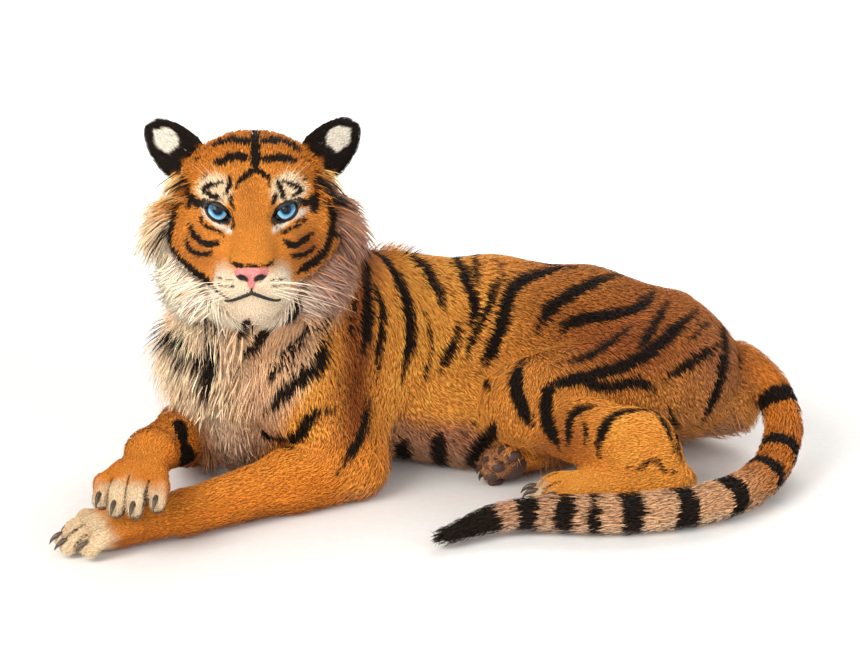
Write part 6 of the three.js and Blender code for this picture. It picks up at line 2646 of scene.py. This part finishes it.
@dataclass
class Feet:
    """Claws at the toes' ends, and the pads under the two feet whose soles show."""

    body: Body
    length: float = 22
    radius: float = 5.2
    steps: int = 12
    sides: int = 12
    path: tuple[tuple[float, float], ...] = (
        (-0.6, 0.1), (-0.1, 0.2), (0.3, 0.12), (0.62, -0.1), (0.84, -0.42))
    floor: float = 0.6
    soles: tuple[str, str] = ("hind_foot_right", "forepaw_right")
    toe_pad: tuple[float, float, float] = (17, 11.5, 11)
    sole_pad: tuple[float, float, float] = (27, 30, 15)
    pole: float = 0.12

    def build_claws(self, maker: Maker, material: Material, nodes: set[str]) -> None:
        """A hooked cone for each claw node: radius r (1 − s^1.6), a little deeper than wide.

        Args:
            maker: puts pieces into the scene.
            material: the horn's finish.
            nodes: the nodes of the fixed model.
        """
        s = np.linspace(0, 0.985, self.steps)
        knots = curve_through(np.array(self.path), 8)
        run = np.linspace(0, 1, len(knots))
        for paw_name, paw in self.body.paws.items():
            for i, place in enumerate(paw.claws):
                name = f"claw_{paw_name}_{i + 1}"
                if name not in nodes:
                    continue
                ahead, above = (np.interp(s, run, knot)[:, None] * self.length for knot in knots.T)
                path = place + ahead * paw.ahead + above * paw.up
                radii = self.radius * (1 - s ** 1.6) + 0.15
                points, faces = tube_along(path, radii, self.sides, paw.up, 1.25)
                points[:, 2] = np.maximum(points[:, 2], self.floor)
                maker.mesh(f"{name}_horn", points, faces, material, "claw", [name])

    def build_pads(self, maker: Maker, material: Material) -> None:
        """Pads: flattened balls under the toes' ends and one broad one behind them.

        Args:
            maker: puts pieces into the scene.
            material: the leather's finish.
        """
        theta = np.linspace(self.pole, math.pi - self.pole, 14)[:, None, None]
        c, s = (ring[None, :, None] for ring in circle(22))
        for name in self.soles:
            paw = self.body.paws[name]
            places = [(paw.place(paw.toe(lane, 26), lane * paw.width / 4, -paw.thick * 0.52), *self.toe_pad)
                      for lane in paw.lanes]
            places.append((paw.place(0.62, 0, -paw.thick * 0.62), *self.sole_pad))
            shapes = []
            for centre, long, wide, deep in places:
                ring = c * paw.aside * wide + s * paw.up * deep
                rings = centre + np.cos(theta) * paw.ahead * long + np.sin(theta) * ring
                shapes.append(capped_tube(rings, centre + paw.ahead * long, centre - paw.ahead * long))
            points, faces = joined(shapes)
            points[:, 2] = np.maximum(points[:, 2], self.floor)
            maker.mesh(f"pads_{name}", points, faces[:, ::-1], material, "nose")


# ---- Finishes ----

def rgba(colour: "Array | Colour") -> tuple[float, ...]:
    """A colour as the four numbers of a socket."""
    return (*map(float, colour), 1.0)


class Wire:
    """A socket of a shader, with the arithmetic that adds Math nodes to its tree."""

    def __init__(self, finish: "Finish", socket: bpy.types.NodeSocket) -> None:
        """Keeps the tree and the socket."""
        self.finish, self.socket = finish, socket

    def _math(self, operation: str, *terms: "Wire | float") -> "Wire":
        """One Math node on terms."""
        return self.finish.node("ShaderNodeMath", {"operation": operation}, dict(enumerate(terms)))

    def __add__(self, other: "Wire | float") -> "Wire":
        """self + other."""
        return self._math("ADD", self, other)

    def __sub__(self, other: "Wire | float") -> "Wire":
        """self − other."""
        return self._math("SUBTRACT", self, other)

    def __rsub__(self, other: float) -> "Wire":
        """other − self."""
        return self._math("SUBTRACT", other, self)

    def __mul__(self, other: "Wire | float") -> "Wire":
        """self · other."""
        return self._math("MULTIPLY", self, other)

    def step(self, low: float, high: float) -> "Wire":
        """A smooth step from 0 at low to 1 at high."""
        return self.finish.node("ShaderNodeMapRange", {"interpolation_type": "SMOOTHSTEP"},
                                {"Value": self, "From Min": low, "From Max": high})


class Finish:
    """A material with one Principled shader, and the calls that its finishes share."""

    def __init__(self, name: str, **constants: "float | tuple") -> None:
        """Makes the material and sets constants on the shader's own sockets.

        Args:
            name: the material's name.
            constants: socket names, with _ for a space, and their values.
        """
        self.material = bpy.data.materials.new(name)
        self.material.use_nodes = True
        self.tree = self.material.node_tree
        self.shader = self.tree.nodes["Principled BSDF"]
        for key, value in constants.items():
            self.shader.inputs[key.replace("_", " ")].default_value = value

    def node(self, kind: str, settings: dict | None = None, sockets: dict | None = None,
             output: "int | str" = 0) -> Wire:
        """Adds a node.

        Args:
            kind: the node's type.
            settings: its properties, which are set first; a ramp's stops go under "stops".
            sockets: values or links by the name or number of the socket.
            output: which output is wanted.

        Returns:
            That output.
        """
        node = self.tree.nodes.new(kind)
        for key, value in (settings or {}).items():
            if key == "stops":
                ramp = node.color_ramp
                while len(ramp.elements) < len(value):
                    ramp.elements.new(0.5)
                for element, (place, colour) in zip(ramp.elements, value):
                    element.position, element.color = place, rgba(colour)
            else:
                setattr(node, key, value)
        for key, value in (sockets or {}).items():
            if isinstance(value, Wire):
                self.tree.links.new(value.socket, node.inputs[key])
            else:
                node.inputs[key].default_value = value
        return Wire(self, node.outputs[output])

    def attribute(self, name: str, output: str = "Fac") -> Wire:
        """An attribute of the mesh by name."""
        return self.node("ShaderNodeAttribute", {"attribute_name": name}, output=output)

    def noise(self, scale: float, detail: float = 3, roughness: float = 0.6) -> Wire:
        """Noise on Object coordinates, from 0 to 1."""
        place = self.node("ShaderNodeTexCoord", output="Object")
        return self.node("ShaderNodeTexNoise", {}, {"Vector": place, "Scale": scale, "Detail": detail,
                                                    "Roughness": roughness})

    def mix(self, share: "Wire | float", a: "Wire | Array", b: "Wire | Array", kind: str = "MIX") -> Wire:
        """Two colours mixed by a share."""
        colours = [c if isinstance(c, Wire) else rgba(c) for c in (a, b)]
        return self.node("ShaderNodeMix", {"data_type": "RGBA", "blend_type": kind},
                         {0: share, 6: colours[0], 7: colours[1]}, 2)

    def bump(self, height: Wire, distance: float, strength: float = 1) -> None:
        """Feeds a height to the shader's Normal through a Bump node."""
        self.feed("Normal", self.node("ShaderNodeBump", {}, {"Height": height, "Distance": distance,
                                                             "Strength": strength}))

    def feed(self, socket: str, wire: Wire) -> None:
        """Links a wire to a socket of the shader."""
        self.tree.links.new(wire.socket, self.shader.inputs[socket])


def skin_finish(palette: Palette) -> Material:
    """The skin under the coat: its ground colour, darkened on markings and on the painted shade between the
    toes, whose edges are frayed by noise.

    Args:
        palette: the coat's colours.

    Returns:
        The material.
    """
    f = Finish("skin_finish", Roughness=0.75, Specular_IOR_Level=0.2)
    frayed = f.attribute("dark") + (f.noise(240, 3) - 0.5) * 7
    on_mark = 1 - frayed.step(-1.4, 1.4)
    fibres = f.noise(700, 2, 0.7)
    ground = f.mix(fibres.step(0.3, 0.75) * 0.4, f.attribute("ground", "Color"), palette.rust * 0.5)
    f.feed("Base Color", f.mix(on_mark, ground, palette.dark))
    f.bump(fibres + f.noise(180, 3) * 1.5, 0.0025)
    return f.material


def hair_finish() -> Material:
    """The hair: each tuft's own colour, with a soft sheen.

    Returns:
        The material.
    """
    f = Finish("hair_finish", Roughness=0.66, Specular_IOR_Level=0.16)
    tone = f.noise(420, 2) * 0.5 + 0.75
    shade = f.node("ShaderNodeCombineColor", {}, {0: tone, 1: tone, 2: tone})
    f.feed("Base Color", f.mix(1.0, f.attribute("hair", "Color"), shade, "MULTIPLY"))
    f.bump(f.noise(900, 2), 0.0006, 0.6)
    return f.material


def eye_finish() -> Material:
    """The eye by its angle from the line of sight: pupil, pale blue iris with fine rays, dark ring, white,
    with a painted shadow of the upper lid over its upper part.

    Returns:
        The material.
    """
    f = Finish("eye_finish", Roughness=0.12, Specular_IOR_Level=0.1, Coat_Weight=0.22, Coat_Roughness=0.02)
    theta = f.attribute("theta") * (1 / math.pi)
    stops = [(place, linear(*colour)) for place, colour in (
        (0.0, (2, 2, 4)), (0.112, (2, 3, 5)), (0.13, (44, 96, 140)), (0.18, (110, 184, 226)),
        (0.25, (178, 226, 248)), (0.288, (60, 112, 156)), (0.308, (10, 14, 20)), (0.35, (20, 14, 12)),
        (0.41, (190, 170, 160)))]
    ramp = f.node("ShaderNodeValToRGB", {"stops": stops}, {0: theta + (f.noise(160, 3) - 0.5) * 0.012})
    streaks = f.noise(420, 4, 0.7).step(0.35, 0.7)
    rays = f.mix(streaks * 0.4, ramp, linear(40, 96, 146))
    band = theta.step(0.12, 0.134) * (1 - theta.step(0.275, 0.305))
    iris = f.mix(band, ramp, rays)
    # The upper part is darkened as the painted shadow of the upper lid.
    shade = 1 - f.attribute("low").step(-0.42, 0.1)
    f.feed("Base Color", f.mix(shade * 0.8, iris, linear(8, 20, 34)))
    return f.material


def lid_finish(palette: Palette) -> Material:
    """The lids: a moist black rim that fades into the ground of the face.

    Args:
        palette: the coat's colours.

    Returns:
        The material.
    """
    f = Finish("lid_finish", Specular_IOR_Level=0.4)
    rim = f.attribute("rim") + (f.noise(300, 2) - 0.5) * 0.16
    f.feed("Base Color", f.mix(rim.step(0.36, 0.56), palette.dark * 0.6, palette.cream * 0.8))
    f.feed("Roughness", rim.step(0.05, 0.3) * 0.5 + 0.22)
    f.bump(f.noise(700, 3), 0.0006)
    return f.material


def nose_finish() -> Material:
    """The nose: pink leather with a pebbled grain, near black in its nostrils and their slits as painted
    shade, and dark along its upper edge.

    Returns:
        The material.
    """
    f = Finish("nose_finish", Specular_IOR_Level=0.5)
    place = f.node("ShaderNodeTexCoord", output="Object")
    cells = f.node("ShaderNodeTexVoronoi", {}, {"Vector": place, "Scale": 520})
    cloud = f.noise(70, 4)
    pink = f.mix(cloud.step(0.35, 0.7), linear(222, 142, 138), linear(196, 108, 104))
    grained = f.mix(cells.step(0.35, 0.75) * 0.5, pink, linear(150, 78, 76))
    # The nostrils and their slits are darkened as painted shade, and the upper edge is darkened too.
    pit = 1 - (f.attribute("pit") + (cloud - 0.5) * 2).step(0.4, 3.2)
    f.feed("Base Color", f.mix(pit, grained, linear(26, 12, 12)))
    f.feed("Roughness", cloud * 0.25 + 0.3)
    f.bump(1 - cells.step(0.1, 0.8) + f.noise(1500, 2) * 0.2, 0.0007)
    return f.material


def leather_finish(name: str, colour: Array, rough: float) -> Material:
    """Dark leather with a fine grain, for lips and pads.

    Args:
        name: the material's name.
        colour: its lighter colour.
        rough: its mean roughness.

    Returns:
        The material.
    """
    f = Finish(name, Specular_IOR_Level=0.4)
    grain = f.noise(500, 4)
    f.feed("Base Color", f.mix(grain.step(0.3, 0.7), colour, colour * 0.55))
    f.feed("Roughness", grain * 0.3 + (rough - 0.15))
    f.bump(grain, 0.0008)
    return f.material


def horn_finish(name: str, light: Array, deep: Array) -> Material:
    """Horn or stiff hair: fine streaks from light to deep, satin.

    Args:
        name: the material's name.
        light: the colour between the streaks.
        deep: the colour of the streaks.

    Returns:
        The material.
    """
    f = Finish(name, Roughness=0.35, Specular_IOR_Level=0.5)
    streak = f.noise(380, 3)
    f.feed("Base Color", f.mix(streak.step(0.35, 0.65), light, deep))
    f.bump(streak, 0.0004)
    return f.material


# ---- Studio ----

@dataclass
class Studio:
    """A pale floor that rises into a backdrop, and soft lights."""

    placement: Placement
    depth: float = 5200
    width: float = 12000
    bend: float = 1600
    front: float = -9000
    top: float = 9000
    chest: Array = start_at(-60, -150, 240)
    wall: Array = start_at(0, 6600, 600)

    def build(self, maker: Maker) -> None:
        """Makes the floor, a quarter circle of radius `bend` behind it, the lights and the sky.

        Args:
            maker: puts pieces into the scene.
        """
        f = Finish("studio_floor", Roughness=0.9, Specular_IOR_Level=0.1)
        speck = f.noise(60, 4)
        f.feed("Base Color", f.mix(speck.step(0.3, 0.7), (0.80, 0.79, 0.77), (0.83, 0.82, 0.80)))
        a = np.linspace(0, math.pi / 2, 24)
        y = np.r_[self.front, self.depth, self.depth + self.bend * np.sin(a[1:]), self.depth + self.bend]
        z = np.r_[0.0, 0.0, self.bend * (1 - np.cos(a[1:])), self.top]
        x = vec(-self.width, self.width)
        grid = np.stack([np.tile(x, len(y)), np.repeat(y, 2), np.repeat(z, 2)], axis=1)
        maker.mesh("studio_backdrop", grid, grid_faces(len(y), 2), f.material, "coat", stage=True)
        self._lamp("key", vec(-2300, -2900, 2700), 2.2, 150, (1.0, 0.96, 0.9), self.chest)
        self._lamp("fill", vec(2600, -2600, 1300), 3.2, 58, (0.96, 0.97, 1.0), self.chest)
        self._lamp("front", vec(-700, -3700, 1300), 3.0, 60, (1.0, 0.97, 0.93), self.chest)
        self._lamp("rim", vec(1300, 2600, 2600), 2.4, 85, (1.0, 0.98, 0.95), self.chest)
        self._lamp("wall", vec(0, 3300, 3300), 2.6, 190, (1.0, 0.99, 0.97), self.wall)
        world = bpy.data.worlds.new("studio")
        bpy.context.scene.world = world
        world.use_nodes = True
        back = world.node_tree.nodes["Background"]
        back.inputs["Color"].default_value = (0.95, 0.97, 1.0, 1)
        back.inputs["Strength"].default_value = 0.5
        bpy.context.scene.view_settings.view_transform = "Standard"

    def _lamp(self, name: str, place: Array, size: float, power: float, colour: Colour,
              target: Array) -> None:
        """A square area light that looks at a target.

        Args:
            name: its name.
            place: its model point.
            size: its side in metres.
            power: its power in watts.
            colour: its light.
            target: the model point it looks at.
        """
        data = bpy.data.lights.new(name, "AREA")
        data.size, data.energy, data.color = size, power, colour
        lamp = bpy.data.objects.new(name, data)
        lamp.location = self.placement.metres(place)
        way = unit(place - target)
        lamp.rotation_euler = (math.acos(way[2]), 0, math.atan2(way[0], -way[1]))
        bpy.context.scene.collection.objects.link(lamp)


# ---- Assembly ----

BARE_NODES = ("eye_left", "eye_right", "nose")


def main() -> None:
    """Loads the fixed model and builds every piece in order."""
    logging.basicConfig(level=logging.INFO, format="%(name)s %(message)s")
    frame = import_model()
    nodes = set(frame["nodes"])
    flesh = sorted(n for n in nodes if n not in BARE_NODES and not n.startswith(("claw_", "ear_")))
    body = Body()
    placement = Placement(body.head)
    maker = Maker(placement)
    view = Viewpoint()
    view.build(placement)
    palette = Palette()
    marks = Markings(body, view)
    log.info("markings: %d stripes", len(marks.dark))
    skin = Skin(body, marks, Colouring(body, marks), Lie(body))
    skin_material = skin_finish(palette)
    hair_material = hair_finish()
    skin.build(maker, skin_material, flesh)
    coat = Coat(body, marks, skin)
    coat.build_short(maker, hair_material, flesh)
    coat.build_long(maker, hair_material, flesh)
    for side in (1, -1):
        Ear(body.head, side).build(maker, skin_material, hair_material, coat.short, coat.long)
    Eyes(body.head, view).build(maker, eye_finish(), lid_finish(palette))
    lip = leather_finish("lip_finish", palette.dark, 0.45)
    Nose(body.head).build(maker, nose_finish(), lip)
    Whiskers(body.head).build(maker, horn_finish("whisker_finish", palette.white, palette.cream))
    feet = Feet(body)
    feet.build_claws(maker, horn_finish("claw_finish", linear(96, 76, 60), linear(40, 29, 23)), nodes)
    feet.build_pads(maker, leather_finish("pad_finish", palette.pad, 0.6))
    Studio(placement).build(maker)


if __name__ == "__main__":
    main()
